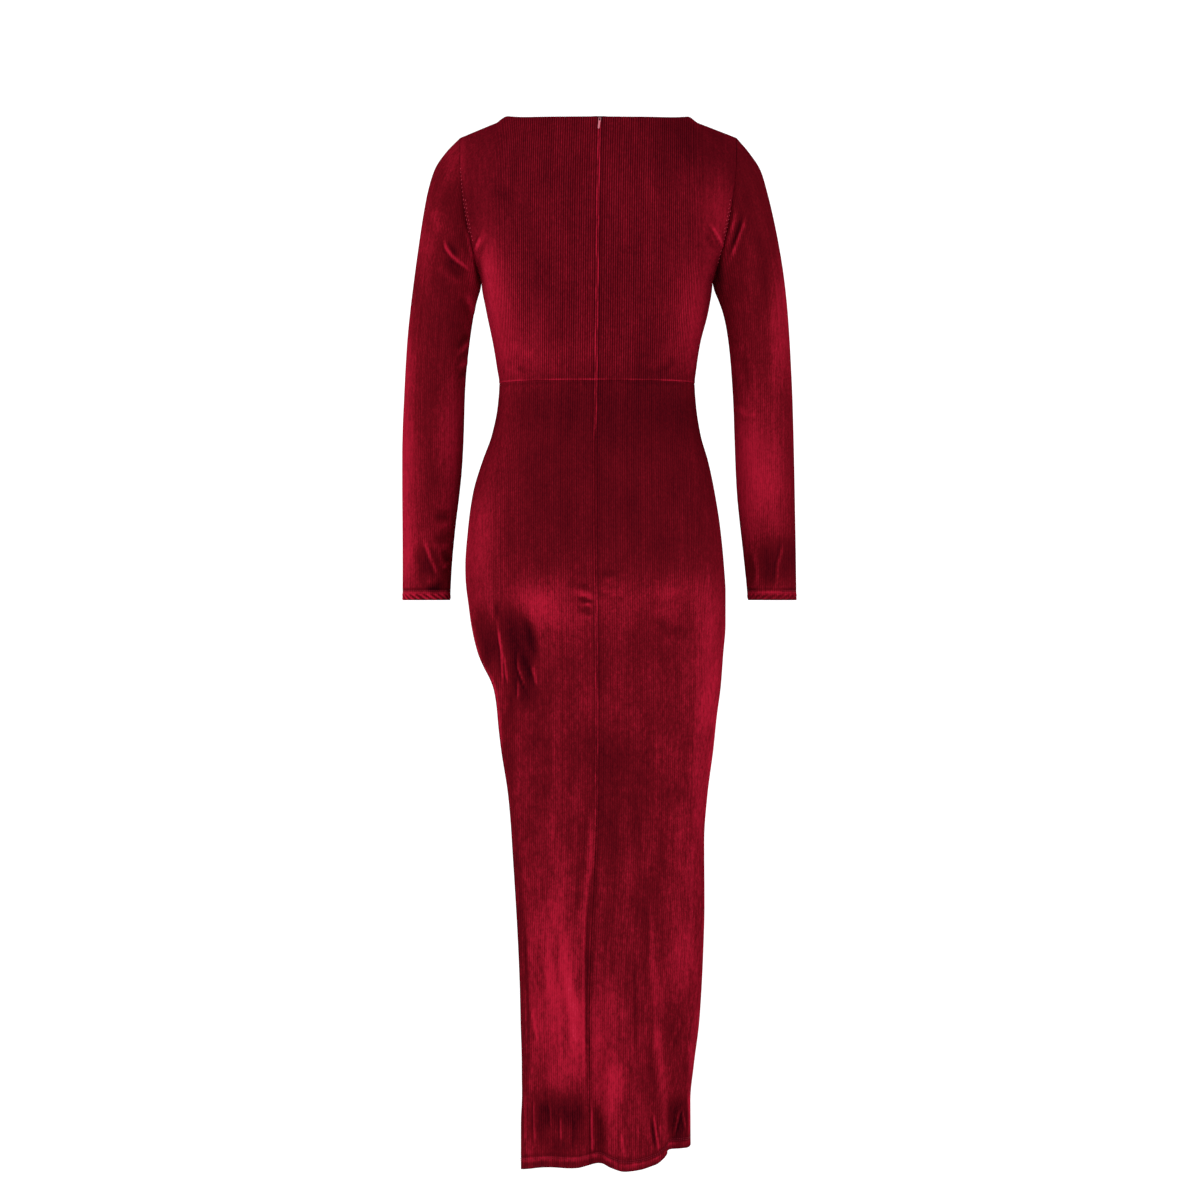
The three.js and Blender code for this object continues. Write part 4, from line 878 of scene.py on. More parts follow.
def soft_relief(name, points, at):
    """Relief that both faces of the cloth share: creases, gathers and the zip's lips."""
    rise, _ = crease_field(name, points)
    if name.startswith("sleeve"):
        return rise
    z = points[:, 2]
    rise += waves(2 * math.pi * at, PUCKERS) * hill((z - WAIST_Z) / PUCKER_REACH)
    if name.startswith("back"):
        middle = np.abs(from_centre_back(name, at))
        rise += mix(ridges(middle, PLAIN_LIPS), ridges(middle, ZIP_LIPS), ramp(z, ZIP_END_Z, LIP_FADE))
        rise += np.sin(z / RIPPLE_LONG) * ridges(middle, RIPPLE)
        rise += hill((z - ZIP_BUMP_Z) / ZIP_BUMP_TALL) * ridges(middle, ZIP_BUMP)
    return rise


# Painted shade in the grooves of the wales and painted light on their crowns
WALE_SHADE = 0.46

# How strongly the painted shade of the wales shows, and the heights above which that changes, each with its
# run
CLEAR_BODICE = 1.2
CLEAR_HIPS = 0.6
CLEAR_LOW = 0.4
ABOVE_HIPS = (-380, 80)
ABOVE_THIGHS = (-700, 150)
CLEAR_AT_HEM = {"x": 45, "z": -1285, "wide": 45, "tall": 30, "clear": 0.8}

# Painted sheen that differs from wale to wale: how strong, what scatters it, and how it wanders with height
WALE_SHEEN = {"strong": 0.12, "turn": 12.99, "scatter": 43.76, "steady": 0.6, "tall": 70, "shift": 1.7}


# Patches of painted sheen and shade, lighter or darker, in millimetres: place, reach and change
SHEEN_AND_SHADE_PATCHES = records(("x", "z", "wide", "tall", "change"), [
    (-112, -22, 30, 34, -0.12),
    (-158, -110, 14, 34, 0.2),
    (-158, -168, 12, 30, 0.18),
    (134, -254, 20, 50, 0.36),
    (148, -186, 14, 24, 0.3),
    (100, -300, 34, 34, 0.12),
    (146, -222, 14, 40, 0.16),
    (186, -52, 13, 28, 0.2),
    (50, -312, 74, 24, 0.08),
    (-126, -272, 20, 60, 0.3),
    (152, -194, 4, 15, -0.45),
    (-158, -196, 4, 14, -0.4),
    (118, -400, 18, 44, 0.12),
    (-60, -372, 90, 36, -0.12),
    (-112, -376, 28, 28, -0.08),
    (134, -500, 22, 50, 0.12),
    (160, -552, 22, 50, 0.26),
    (80, -620, 26, 17, 0.28),
    (50, -640, 24, 14, 0.14),
    (24, -606, 38, 20, 0.1),
    (-84, -614, 50, 20, 0.14),
    (-146, -700, 13, 84, 0.2),
    (-150, -820, 15, 80, 0.16),
    (-124, -1060, 18, 130, 0.15),
    (112, -852, 12, 60, 0.16),
    (56, -1040, 30, 80, 0.12),
    (38, -1156, 36, 60, 0.26),
    (92, -1286, 7, 50, 0.16),
    (-4, -1232, 22, 50, 0.2),
    (62, -1266, 12, 16, -0.14),
    (24, -1262, 12, 18, -0.2),
    (46, -1298, 11, 8, 0.16),
    (250, -452, 13, 92, 0.4),
    (222, -148, 14, 48, 0.2),
    (246, -300, 9, 60, 0.18),
    (193, -250, 14, 50, -0.06),
    (188, -405, 14, 60, 0.28),
    (214, -541, 14, 12, 0.12),
    (246, -556, 10, 40, 0.2),
    (196, -500, 14, 20, 0.1),
    (-188, -385, 18, 112, 0.2),
    (215, -300, 40, 260, 0.06),
    (-192, -455, 22, 64, 0.28),
    (-224, -480, 20, 60, 0.2),
    (-166, -50, 22, 42, -0.08),
    (-236, -330, 14, 130, 0.14),
    (-240, -260, 14, 60, 0.22),
])
# Painted light over the lower part of the dress, below a height with its run
LOWER_PAINTED_LIGHT = 0.13
PAINTED_LIGHT_BELOW = (540, 110)

# Patches of painted sheen and shade with a clearer edge, leaning across as they rise
SHEEN_AND_SHADE_FIELDS = records(("x", "z", "wide", "tall", "lean", "change"), [
    (101, -662, 24, 40, 0.3, -0.3),
    (140, -672, 14, 42, 0.2, -0.22),
    (97, -718, 20, 42, 0.3, -0.26),
    (112, -790, 9, 56, 0.1, -0.14),
    (49, -1286, 40, 36, 0.05, -0.24),
    (-104, -1288, 13, 30, 0.08, -0.4),
    (-99, -1160, 17, 34, 0.2, -0.08),
    (-232, -568, 34, 30, -0.3, -0.22),
    (214, -582, 22, 26, 0.1, -0.12),
    (118, -316, 60, 26, 0.6, 0.04),
    (-20, -860, 36, 90, 0, -0.1),
])

# Twists of the rolled cuff
CORD_PITCH = 10.5
CORD_SLANT = 7.0
CORD_TALL = 9.0
CORD_EDGE = 1.5

# Small relief of the outer face, beside the seams, the stitching and the free edges
WALE_FADE = 1.2
SEAM_GROOVE = 0.25
SLEEVE_GROOVE = 0.4
LIP_AT = 0.7
LIP_WIDE = 0.8
PLAIN_LIP = 0.4
ZIP_LIP = 0.9
WAIST_RELIEF = ((1.6, 1.2, 0.3), (0, 0.9, -0.5))
EDGE_ROUND = 1.3
EDGE_DROP = 0.6
STITCH_ROWS = (STITCH_ABOVE_HEM - 1, STITCH_ABOVE_HEM + 1)
STITCH_DENTS = [(height, 0.45, -0.3) for height in STITCH_ROWS]
TWIST_RISE = 0.45
TWIST_FADE = 2


def wale_wave(at):
    """1 on the crown of a wale and 0 in the groove beside it."""
    return np.abs(((at / WALE_PITCH + 0.5) % 1) * 2 - 1)


def cuff_cord(at, edge):
    """Slanting twists of the rolled cuff: how deep in the roll, and the wave along it."""
    twist = np.sin(2 * math.pi * (at / CORD_PITCH + edge / CORD_SLANT))
    return ease((CORD_TALL - edge) / CORD_EDGE), twist


def fine_relief(name, points, at, edge):
    """Relief of the outer face alone: wales, seam lines, rolled edges and rows of stitching."""
    sleeve = name.startswith("sleeve")
    near_end = from_ends(at)
    rise = -WALE_DEEP * (1 - wale_wave(at)) * ease(near_end / WALE_FADE)
    rise -= (SLEEVE_GROOVE if sleeve else SEAM_GROOVE) * hill(near_end)
    z = points[:, 2]
    if name.startswith("back"):
        middle = np.abs(from_centre_back(name, at))
        lip = mix(PLAIN_LIP, ZIP_LIP, ramp(z, ZIP_END_Z, LIP_FADE))
        rise += lip * hill((middle - LIP_AT) / LIP_WIDE)
    if not sleeve:
        rise += ridges(z - WAIST_Z, WAIST_RELIEF)
    if edge is not None:
        rise -= EDGE_DROP * (1 - np.clip(edge / EDGE_ROUND, 0, 1)) ** 2
        if sleeve:
            inside, twist = cuff_cord(at, edge)
            rise += TWIST_RISE * inside * twist * ease(edge / TWIST_FADE)
        if "bodice" not in name:
            rise += ridges(edge, STITCH_DENTS)
    return rise


# Painted highlights and shade on the cuffs: lines along them, and the twists of each side
CUFF_LINES = ((10.6, 1.1, 0.34), (8, 0.9, 0.18), (15, 4, -0.2))
CUFF_LIGHT = 0.04
CUFF_TWIST = {"sleeve_left": 0.3, "sleeve_right": 0.1}

# Painted highlights and shadow at the hem: heights of its main line on the right and left, the lines beside
# it, and the edge
HEM_LINE_RIGHT = 7.6
HEM_LINE_LEFT = 12.2
HEM_LINE_CHANGE = (-40, 60)
HEM_MAIN = ((0, 1.3, 0.34),)
HEM_BESIDE = ((-3, 1.0, 0.14), (4, 3, -0.16))
HEM_EDGE_SHADE = ((4.5, 2.5, -0.12),)


def hem_shade(name, at, x, edge):
    """Painted highlights and shade in lines along a hem or cuff."""
    if name.startswith("sleeve"):
        inside, twist = cuff_cord(at, edge)
        return inside * (CUFF_LIGHT + CUFF_TWIST[name] * twist) + ridges(edge, CUFF_LINES)
    above = edge - mix(HEM_LINE_RIGHT, HEM_LINE_LEFT, ramp(x, *HEM_LINE_CHANGE))
    uneven = 0.75 + 0.25 * np.sin(x / 4.3 + 1.5 * np.sin(x / 13))
    return uneven * ridges(above, HEM_MAIN) + ridges(above, HEM_BESIDE) + ridges(edge, HEM_EDGE_SHADE)


# Painted highlight on the centre back seam's ridge from the hem up: each level, and the height above which
# it starts
CENTRE_SEAM_HIGHLIGHTS = ((0.32, (-960, 80)), (0.16, (-640, 60)), (0.56, (ZIP_END_Z, 20)))
CENTRE_SEAM_LOW_SHADE = -0.1

# Painted shade and highlights by the seams, slit, waist and free edges, and how the centre back highlight
# strays
SEAM_STRAY = ((9.7, 0, 0.45), (23, 1.3, 0.35), (4.1, 0.6, 0.25))
CENTRE_SEAM_HIGHLIGHT_WIDE = 0.85
CENTRE_SEAM_SHADE = ((2.6, 1.2, -0.12),)
SLIT_HIGHLIGHT = ((2, 2, 0.26),)
SLIT_SHADE = ((5.5, 4.5, -0.2),)
SLIT_START = (-SLIT_TOP_Z, 50)
SLIT_CHANGE = (760, 80)
WAIST_HIGHLIGHT = ((0.9, 0.8, 0.55),)
WAIST_SHADE_BELOW = ((-2.4, 2, -0.07),)
FREE_EDGE_SHADE = ((0, 0.8, -0.25),)
SEAM_PAINTED_SHADE = ((0, 0.5, -0.3),)
CENTRE_CLEAR = 5


def wale_clearness(name, x, z):
    """How strongly the painted shade of the wales shows: most on the bodice, least low down and on the
    sleeves.
    """
    if name.startswith("sleeve"):
        return CLEAR_LOW
    clear = mix(CLEAR_LOW, mix(CLEAR_HIPS, CLEAR_BODICE, ramp(z, *ABOVE_HIPS)), ramp(z, *ABOVE_THIGHS))
    reach = ((x - CLEAR_AT_HEM["x"]) / CLEAR_AT_HEM["wide"]) ** 2
    reach = reach + ((z - CLEAR_AT_HEM["z"]) / CLEAR_AT_HEM["tall"]) ** 2
    return np.maximum(clear, CLEAR_AT_HEM["clear"] * np.exp(-reach))


def wale_sheen(at, z):
    """Small difference of painted sheen from wale to wale."""
    count = np.floor(at / WALE_PITCH + 0.5)
    scattered = np.sin(count * WALE_SHEEN["turn"]) * WALE_SHEEN["scatter"] % 1 - 0.5
    wander = np.sin(z / WALE_SHEEN["tall"] + count * WALE_SHEEN["shift"])
    return WALE_SHEEN["strong"] * scattered * mix(wander, 1, WALE_SHEEN["steady"])


def centre_back_highlight(z):
    """Painted highlight on the ridge of the centre back seam: painted shade low down, lightest beside the
    zip.
    """
    light = CENTRE_SEAM_LOW_SHADE
    for next_light, above in CENTRE_SEAM_HIGHLIGHTS:
        light = mix(light, next_light, ramp(z, *above))
    return light


def sheen_and_shade_patches(x, z):
    """Painted sheen and shade in the lighter and darker patches."""
    painted_sheen_and_shade = np.zeros(len(x))
    for patch in SHEEN_AND_SHADE_PATCHES:
        reach = ((x - patch["x"]) / patch["wide"]) ** 2 + ((z - patch["z"]) / patch["tall"]) ** 2
        painted_sheen_and_shade += patch["change"] * np.exp(-0.5 * reach)
    for field in SHEEN_AND_SHADE_FIELDS:
        across = x - field["x"] - field["lean"] * (z - field["z"])
        reach = (across / field["wide"]) ** 2 + ((z - field["z"]) / field["tall"]) ** 2
        painted_sheen_and_shade += field["change"] * np.exp(-(reach**2))
    return painted_sheen_and_shade


def painted_sheen_and_shade_of(name, points, at, edge):
    """Painted sheen and shade at each point: in the wales, along creases, seams and edges, and in patches.
    """
    x = points[:, 0]
    z = points[:, 2]
    near_end = from_ends(at)
    # Painted highlight and shade of the creases
    painted_sheen_and_shade = crease_field(name, points)[1]
    # Painted shade in the wales' grooves and painted light on their crowns
    painted_sheen_and_shade += WALE_SHADE * wale_clearness(name, x, z) * (wale_wave(at) - 0.5)
    # Painted light lower down, and painted sheen from wale to wale
    painted_sheen_and_shade += LOWER_PAINTED_LIGHT * ramp(-z, *PAINTED_LIGHT_BELOW) + wale_sheen(at, z)
    # Painted sheen and shade in patches, mirrored onto the front
    painted_sheen_and_shade += sheen_and_shade_patches(-x if name.startswith("front") else x, z)
    # Painted highlight on the centre back seam and painted shade beside it
    if name.startswith("back"):
        middle = from_centre_back(name, at)
        painted_sheen_and_shade += centre_back_highlight(z) * hill((middle - waves(z, SEAM_STRAY)) / CENTRE_SEAM_HIGHLIGHT_WIDE)
        painted_sheen_and_shade += ridges(np.abs(middle), CENTRE_SEAM_SHADE)
        near_end = np.where(np.abs(middle) < CENTRE_CLEAR, np.inf, near_end)
    # Painted highlight along the slit's edge up high, and painted shade beside it lower down
    if name == "back_skirt_left":
        from_slit = at[-1] - at
        upper = ridges(from_slit, SLIT_HIGHLIGHT)
        lower = ridges(from_slit, SLIT_SHADE)
        painted_sheen_and_shade += ramp(-z, *SLIT_START) * mix(upper, lower, ramp(-z, *SLIT_CHANGE))
    # Painted highlight along the waist seam, and painted shade just below it
    if not name.startswith("sleeve"):
        uneven = 0.6 + 0.4 * np.sin(x / 11 + 0.7) * np.sin(x / 29 + 2)
        painted_sheen_and_shade += uneven * ridges(z - WAIST_Z, WAIST_HIGHLIGHT) + ridges(z - WAIST_Z, WAIST_SHADE_BELOW)
    # Painted shade at free edges, and painted highlights and shadow along hems and cuffs
    if edge is not None:
        painted_sheen_and_shade += ridges(edge, FREE_EDGE_SHADE)
        if "bodice" not in name:
            painted_sheen_and_shade += hem_shade(name, at, x, edge)
    # Painted shade at the seams
    return painted_sheen_and_shade + ridges(near_end, SEAM_PAINTED_SHADE)


SEAM_LAP = 0.6
LAP_DEPTH = 0.25
LAP_TOP_Z = UNDERARM_Z - 1


def lap_side_seam(name, layer, outward):
    """Turns the back's seam allowance in behind the front at the side seam, in one row."""
    end, beside = (-1, -2) if name.endswith("left") else (0, 1)
    z = layer[end][2]
    free = name == "back_skirt_left" and z < SLIT_TOP_Z
    if name.startswith("back") and z < LAP_TOP_Z and not free:
        along = layer[end] - layer[beside]
        layer[end] += unit(along) * SEAM_LAP - outward[end] * LAP_DEPTH


def row_ids(first, count, tube):
    """Numbers of a row's points. A tube's last point is its first again."""
    ids = list(range(first, first + count))
    return ids[:-1] + ids[:1] if tube else ids


def outward_normals(base, faces, starts, tube):
    """Direction off the outer face at each point, and whether the faces already turn outward."""
    triangles = [face[:3] for face in faces]
    triangles += [(face[0], face[2], face[3]) for face in faces if len(face) == 4]
    corners = np.array(triangles)
    first = base[corners[:, 0]]
    turned = np.cross(base[corners[:, 1]] - first, base[corners[:, 2]] - first)
    normals = np.zeros_like(base)
    for i in range(3):
        np.add.at(normals, corners[:, i], turned)
    centre = np.zeros_like(base)
    if tube:
        for start, end in zip(starts, starts[1:]):
            centre[start:end] = base[start:end].mean(axis=0)
    facing_out = np.sum((normals * (base - centre))[:, :2]) > 0
    normals = unit(normals if facing_out else -normals)
    if tube:
        normals[starts[1:] - 1] = normals[starts[:-1]]
    return normals, facing_out


LEAST_INSIDE = 3


def shell(name, rows, edges):
    """Closed shell of one cut piece. edges gives each row's distance from its free edge, or None."""
    tube = name.startswith("sleeve")
    outer = [columns_of(row, place) for row, place in rows]
    base = np.concatenate([points for points, _, _ in outer])
    places = [at for _, at, _ in outer]
    counts = [len(at) for at in places]
    starts = running_total(counts)
    ids = [row_ids(start, count, tube) for start, count in zip(starts, counts)]
    firsts = [(first, first + len(at) - 3) for _, at, first in outer]
    faces = layer_faces(ids, places, firsts)
    normals, facing_out = outward_normals(base, faces, starts, tube)
    soft = np.concatenate([soft_relief(name, points, at) for points, at, _ in outer])
    edged = [(points, at, edge) for (points, at, _), edge in zip(outer, edges)]
    fine = np.concatenate([fine_relief(name, *row) for row in edged])
    painted_sheen_and_shade = np.concatenate([painted_sheen_and_shade_of(name, *row) for row in edged])

    layers = [base + normals * (soft + fine)[:, None]]
    inner_ids = []
    inner_places = []
    inner_firsts = []
    total = len(base)
    for at, (first, _), start, count in zip(places, firsts, starts, counts):
        number = first + np.arange(count - 2)
        picked = 1 + np.nonzero(number % PLAIN_EVERY == 0)[0]
        picked = picked[(picked >= LEAST_INSIDE) & (picked < count - LEAST_INSIDE)]
        chosen = np.concatenate([[0], picked, [count - 1]])
        outward = normals[start + chosen]
        layer = base[start + chosen] + outward * (soft[start + chosen] - WALL)[:, None]
        lap_side_seam(name, layer, outward)
        layers.append(layer)
        inner_ids.append(row_ids(total, len(chosen), tube))
        inner_places.append(at[chosen])
        numbers = number[picked - 1] // PLAIN_EVERY
        inner_firsts.append((int(numbers[0]), int(numbers[-1])))
        total += len(chosen)
    inner_faces = [face[::-1] for face in layer_faces(inner_ids, inner_places, inner_firsts)]
    rims = strip(inner_ids[0], inner_places[0], ids[0], places[0])
    rims += strip(ids[-1], places[-1], inner_ids[-1], inner_places[-1])
    if not tube:
        for j in range(len(ids) - 1):
            rims.append((ids[j][0], ids[j + 1][0], inner_ids[j + 1][0], inner_ids[j][0]))
            rims.append((ids[j + 1][-1], ids[j][-1], inner_ids[j][-1], inner_ids[j + 1][-1]))
    if not facing_out:
        faces, inner_faces, rims = ([face[::-1] for face in part] for part in (faces, inner_faces, rims))
    return np.concatenate(layers), painted_sheen_and_shade, faces, inner_faces, rims


def add_object(name, vertices, faces, materials, smooth=None, slots=None):
    """Object of the points that its faces use, smooth and with one material unless told otherwise."""
    used = np.unique(np.array([i for face in faces for i in face]))
    moved = np.zeros(len(vertices), int)
    moved[used] = np.arange(len(used))
    faces = [tuple(int(moved[i]) for i in face) for face in faces]
    mesh = bpy.data.meshes.new(name)
    mesh.from_pydata((np.asarray(vertices)[used] * METRES).tolist(), [], faces)
    mesh.polygons.foreach_set("use_smooth", smooth or [True] * len(faces))
    for material in materials:
        mesh.materials.append(material)
    mesh.polygons.foreach_set("material_index", slots or [0] * len(faces))
    mesh.update()
    made = bpy.data.objects.new(name, mesh)
    bpy.context.scene.collection.objects.link(made)
    return made, used


def cloth_piece(name, rows, edges):
    """Velvet of one cut piece, in the place of its solid."""
    vertices, painted_sheen_and_shade, outer_faces, inner_faces, rims = shell(name, rows, edges)
    faces = outer_faces + inner_faces + rims
    smooth = [True] * (len(faces) - len(rims)) + [False] * len(rims)
    slots = [0] * len(outer_faces) + [1] * len(inner_faces) + [0] * len(rims)
    made, used = add_object(f"{name}_velvet", vertices, faces, CLOTH, smooth, slots)
    # Painted sheen and shade of each point, kept for the velvet's colour to read
    shade = made.data.attributes.new("painted_sheen_and_shade", "FLOAT", "POINT")
    shade.data.foreach_set("value", np.concatenate([painted_sheen_and_shade, np.zeros(len(vertices) - len(painted_sheen_and_shade))])[used])
    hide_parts(name)
    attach(made, "dress")


def trimmed(row, place):
    """Row cut back by half the seam gap at both ends."""
    low = place[0] + HALF_GAP
    high = place[-1] - HALF_GAP
    at = np.concatenate([[low], place[(place > low) & (place < high)], [high]])
    return sampled(at, place, row), at


STEEPEST_PLACE = 1.9
UPRIGHT_FROM = 0.25
TINY_STEP = 1e-7


def upright_places(name, row):
    """Places of the wales above the underarm, which stay upright up to the armhole and shoulder."""
    half = "front" if name.startswith("front") else "back"
    ring = ring_row(half, UNDERARM_Z, 0.0, "left")
    middle = CENTRE_BACK(row[:, 2]) if half == "back" else 0
    across = np.abs(row[:, 0] - middle)
    steps = np.minimum(np.diff(run_length(ring)), STEEPEST_PLACE * np.maximum(np.diff(ring[:, 0]), 0))
    place = np.interp(across, ring[:, 0], running_total(steps))
    place += np.maximum(across - ring[:, 0].max(), 0) * STEEPEST_PLACE
    place = np.maximum.accumulate(place * np.sign(row[:, 0] - middle))
    return place - place[0]


def half_rows(name, make_row, levels):
    """Rows with their places; wales count from the centre back or the centre front."""
    rows = []
    for level in levels:
        row = make_row(name, level)
        if name.endswith("right") or name.startswith("front"):
            row = row[::-1]
        place = run_length(row)
        if "bodice" in name and level >= 0:
            place = mix(place - place[0], upright_places(name, row), ease(level / UPRIGHT_FROM))
        place = place + np.arange(len(place)) * TINY_STEP
        if name.endswith("right"):
            place = place - place[-1]
        elif name.startswith("front"):
            place = place - place[int(np.argmin(np.abs(row[:, 0])))]
        rows.append(trimmed(row, place))
    return rows


class Tone:
    """One value in a material's nodes. Sums on it add the nodes that work them out."""

    def __init__(self, tree, socket=None):
        self.tree = tree
        self.socket = socket

    def put(self, slot, value):
        if isinstance(value, Tone):
            self.tree.links.new(value.socket, slot)
        else:
            slot.default_value = value

    def node(self, kind, settings=None, sockets=None, out=0):
        """Any node: its type, its settings, its sockets by name or number, and the output to use."""
        made = self.tree.nodes.new("ShaderNode" + kind)
        for key, value in (settings or {}).items():
            setattr(made, key, value)
        for key, value in (sockets or {}).items():
            self.put(made.inputs[key], value)
        return Tone(self.tree, made.outputs[out])

    def sum(self, operation, first, second):
        return self.node("Math", {"operation": operation}, {0: first, 1: second})

    def __add__(self, other):
        return self.sum("ADD", self, other)

    __radd__ = __add__

    def __sub__(self, other):
        return self.sum("SUBTRACT", self, other)

    def __rsub__(self, other):
        return self.sum("SUBTRACT", other, self)

    def __mul__(self, other):
        return self.sum("MULTIPLY", self, other)

    __rmul__ = __mul__

    def step(self, low, high):
        """0 below low, 1 above high, and smooth between."""
        values = {"Value": self, "From Min": low, "From Max": high}
        return self.node("MapRange", {"interpolation_type": "SMOOTHSTEP"}, values)

    def blend(self, first, second):
        """Mix of two colours by this value."""
        return self.node("Mix", {"data_type": "RGBA"}, {0: self, 6: first, 7: second}, out=2)

    def noise(self, scale, detail=2.0, rough=0.5):
        """Noise at this place, about this many to the metre."""
        values = {"Vector": self, "Scale": scale, "Detail": detail, "Roughness": rough}
        return self.node("TexNoise", None, values)

    def squeezed(self, across, up):
        return self.node("Mapping", None, {"Vector": self, "Scale": (across, across, up)})

    def axis(self, number):
        return self.node("SeparateXYZ", None, {0: self}, out=number)


class Finish:
    """New material: nodes start from its place on the object, and values go to its shader."""

    def __init__(self, name, **constants):
        self.material = bpy.data.materials.new(name)
        self.material.use_nodes = True
        tree = self.material.node_tree
        self.shader = tree.nodes["Principled BSDF"]
        self.start = Tone(tree)
        self.place = self.start.node("TexCoord", out="Object")
        self.set(**constants)

    def set(self, **values):
        for key, value in values.items():
            self.start.put(self.shader.inputs[key.replace("_", " ")], value)

    def bump(self, height, strength, deep):
        values = {"Height": height, "Strength": strength, "Distance": deep}
        self.set(Normal=self.start.node("Bump", None, values))


def linear(value):
    value /= 255
    return value / 12.92 if value <= 0.04045 else ((value + 0.055) / 1.055) ** 2.4


def colour(red, green, blue):
    """Colour as a painter mixes it, each part from 0 to 255."""
    return (linear(red), linear(green), linear(blue), 1.0)


# Reds from painted shade, through the cloth's own red, to painted sheen; the pile's mottle also moves
# between them
SHADE_AND_MOTTLE_DEEP_RED = colour(34, 2, 7)
BODY_RED = colour(84, 8, 17)
SHEEN_AND_MOTTLE_BRIGHT_RED = colour(146, 19, 40)
SHEEN_PALEST_RED = colour(190, 44, 72)


# The pile's mean level, how strongly the painted sheen and shade move it, and its mottling, stronger low
# down
PILE_LEVEL = 0.367
SHEEN_AND_SHADE_GAIN = 0.8
SHEEN_AND_SHADE_GAIN_CRUSHED = 0.4
BROAD_MOTTLE = 0.26
BROAD_MOTTLE_LOW = 0.24
CRUSHED_MOTTLE = 0.24
CRUSHED_MOTTLE_LOW = 0.18
TUFT_MOTTLE = 0.4


def ribbed_velvet():
    """Ribbed velvet: deep red, with painted sheen and shade in patches, creases and seams, and a mottled
    pile.
    """
    finish = Finish("ribbed_velvet", Sheen_Weight=0.16, Sheen_Roughness=0.3)
    finish.set(Sheen_Tint=colour(200, 0, 50), Specular_IOR_Level=0.0)
    # Painted sheen and shade from the points sets how light the red is
    painted_sheen_and_shade = finish.start.node("Attribute", {"attribute_name": "painted_sheen_and_shade"}, out="Fac")
    broad = finish.place.squeezed(1.0, 0.45).noise(34.0, 3.0, 0.55)
    crushed = finish.place.squeezed(1.0, 0.4).noise(250.0, 3.0, 0.6)
    tufts = finish.place.squeezed(1.0, 0.6).noise(520.0, 2.0, 0.6)
    pile = finish.place.noise(900.0, 2.0, 0.6)
    low = 1 - finish.place.axis(2).step(-0.85, -0.5)
    mottle = (broad - 0.5) * (BROAD_MOTTLE + BROAD_MOTTLE_LOW * low)
    mottle += (crushed - 0.5) * (CRUSHED_MOTTLE + CRUSHED_MOTTLE_LOW * low)
    gain = SHEEN_AND_SHADE_GAIN + SHEEN_AND_SHADE_GAIN_CRUSHED * crushed
    level = painted_sheen_and_shade * gain + mottle + (tufts - 0.5) * TUFT_MOTTLE + PILE_LEVEL
    # Darker reds for painted shade, lighter ones for painted sheen, with the mottle of the pile
    shade = level.step(-0.1, 0.62).blend(SHADE_AND_MOTTLE_DEEP_RED, BODY_RED)
    shade = level.step(0.42, 1.0).blend(shade, SHEEN_AND_MOTTLE_BRIGHT_RED)
    shade = level.step(0.95, 1.6).blend(shade, SHEEN_PALEST_RED)
    finish.set(Base_Color=shade, Roughness=0.7 + 0.15 * pile)
    finish.bump(pile, 0.3, 0.0004)
    return finish.material


def velvet_reverse():
    """Flat back of the velvet, as seen inside the dress."""
    finish = Finish("velvet_reverse", Specular_IOR_Level=0.1)
    fleck = finish.place.noise(900.0)
    broad = finish.place.noise(20.0, 3.0)
    share = 0.5 * fleck + 0.5 * broad
    finish.set(Base_Color=share.blend(colour(60, 5, 14), colour(98, 12, 26)), Roughness=0.8 + 0.1 * fleck)
    finish.bump(fleck, 0.4, 0.0003)
    return finish.material


def thread(name, dark, light):
    finish = Finish(name, Specular_IOR_Level=0.04)
    twist = finish.place.noise(2200.0, 1.0)
    finish.set(Base_Color=twist.blend(dark, light), Roughness=0.5 + 0.2 * twist)
    return finish.material


def zip_paint(name, paint, worn, metallic):
    """Paint of the zip's metal, worn lighter in specks."""
    finish = Finish(name, Metallic=metallic)
    speck = finish.place.noise(700.0, 3.0)
    share = speck.step(0.52, 0.74)
    finish.set(Base_Color=share.blend(paint, worn), Roughness=0.28 + 0.25 * speck)
    finish.bump(speck, 0.15, 0.0001)
    return finish.material


CLOTH = [ribbed_velvet(), velvet_reverse()]
RED_THREAD = thread("red_thread", colour(84, 9, 20), colour(136, 22, 42))
BRIGHT_THREAD = thread("bright_thread", colour(150, 24, 42), colour(206, 70, 88))
ZIP_TAPE = thread("zip_tape", colour(64, 4, 14), colour(90, 10, 24))

SKIRT_PIECES = ("front_skirt", "back_skirt_left", "back_skirt_right")

for piece in SKIRT_PIECES:
    cloth_piece(piece, half_rows(piece, skirt_row, SKIRT_LEVELS), SKIRT_EDGES)
for piece in ("front_bodice", "back_bodice_left", "back_bodice_right"):
    cloth_piece(piece, half_rows(piece, bodice_row, BODICE_LEVELS), BODICE_EDGES)
for side in SIGN:
    placed = [(row, sleeve_places(side, row)) for row in (sleeve_row(side, ring) for ring in SLEEVE_LEVELS)]
    head, head_place = placed[0]
    placed.insert(0, (tucked_row(side, head), head_place))
    cloth_piece(f"sleeve_{side}", placed, SLEEVE_EDGES)

WAY_REACH = 0.5


def along_line(points, pitch, start):
    """Places every pitch along a line of points, with the line's direction at each."""
    run = running_total(np.linalg.norm(np.diff(points, axis=0), axis=1))
    at = np.arange(start, run[-1], pitch)
    ways = sampled(at + WAY_REACH, run, points) - sampled(at - WAY_REACH, run, points)
    return sampled(at, run, points), unit(ways)


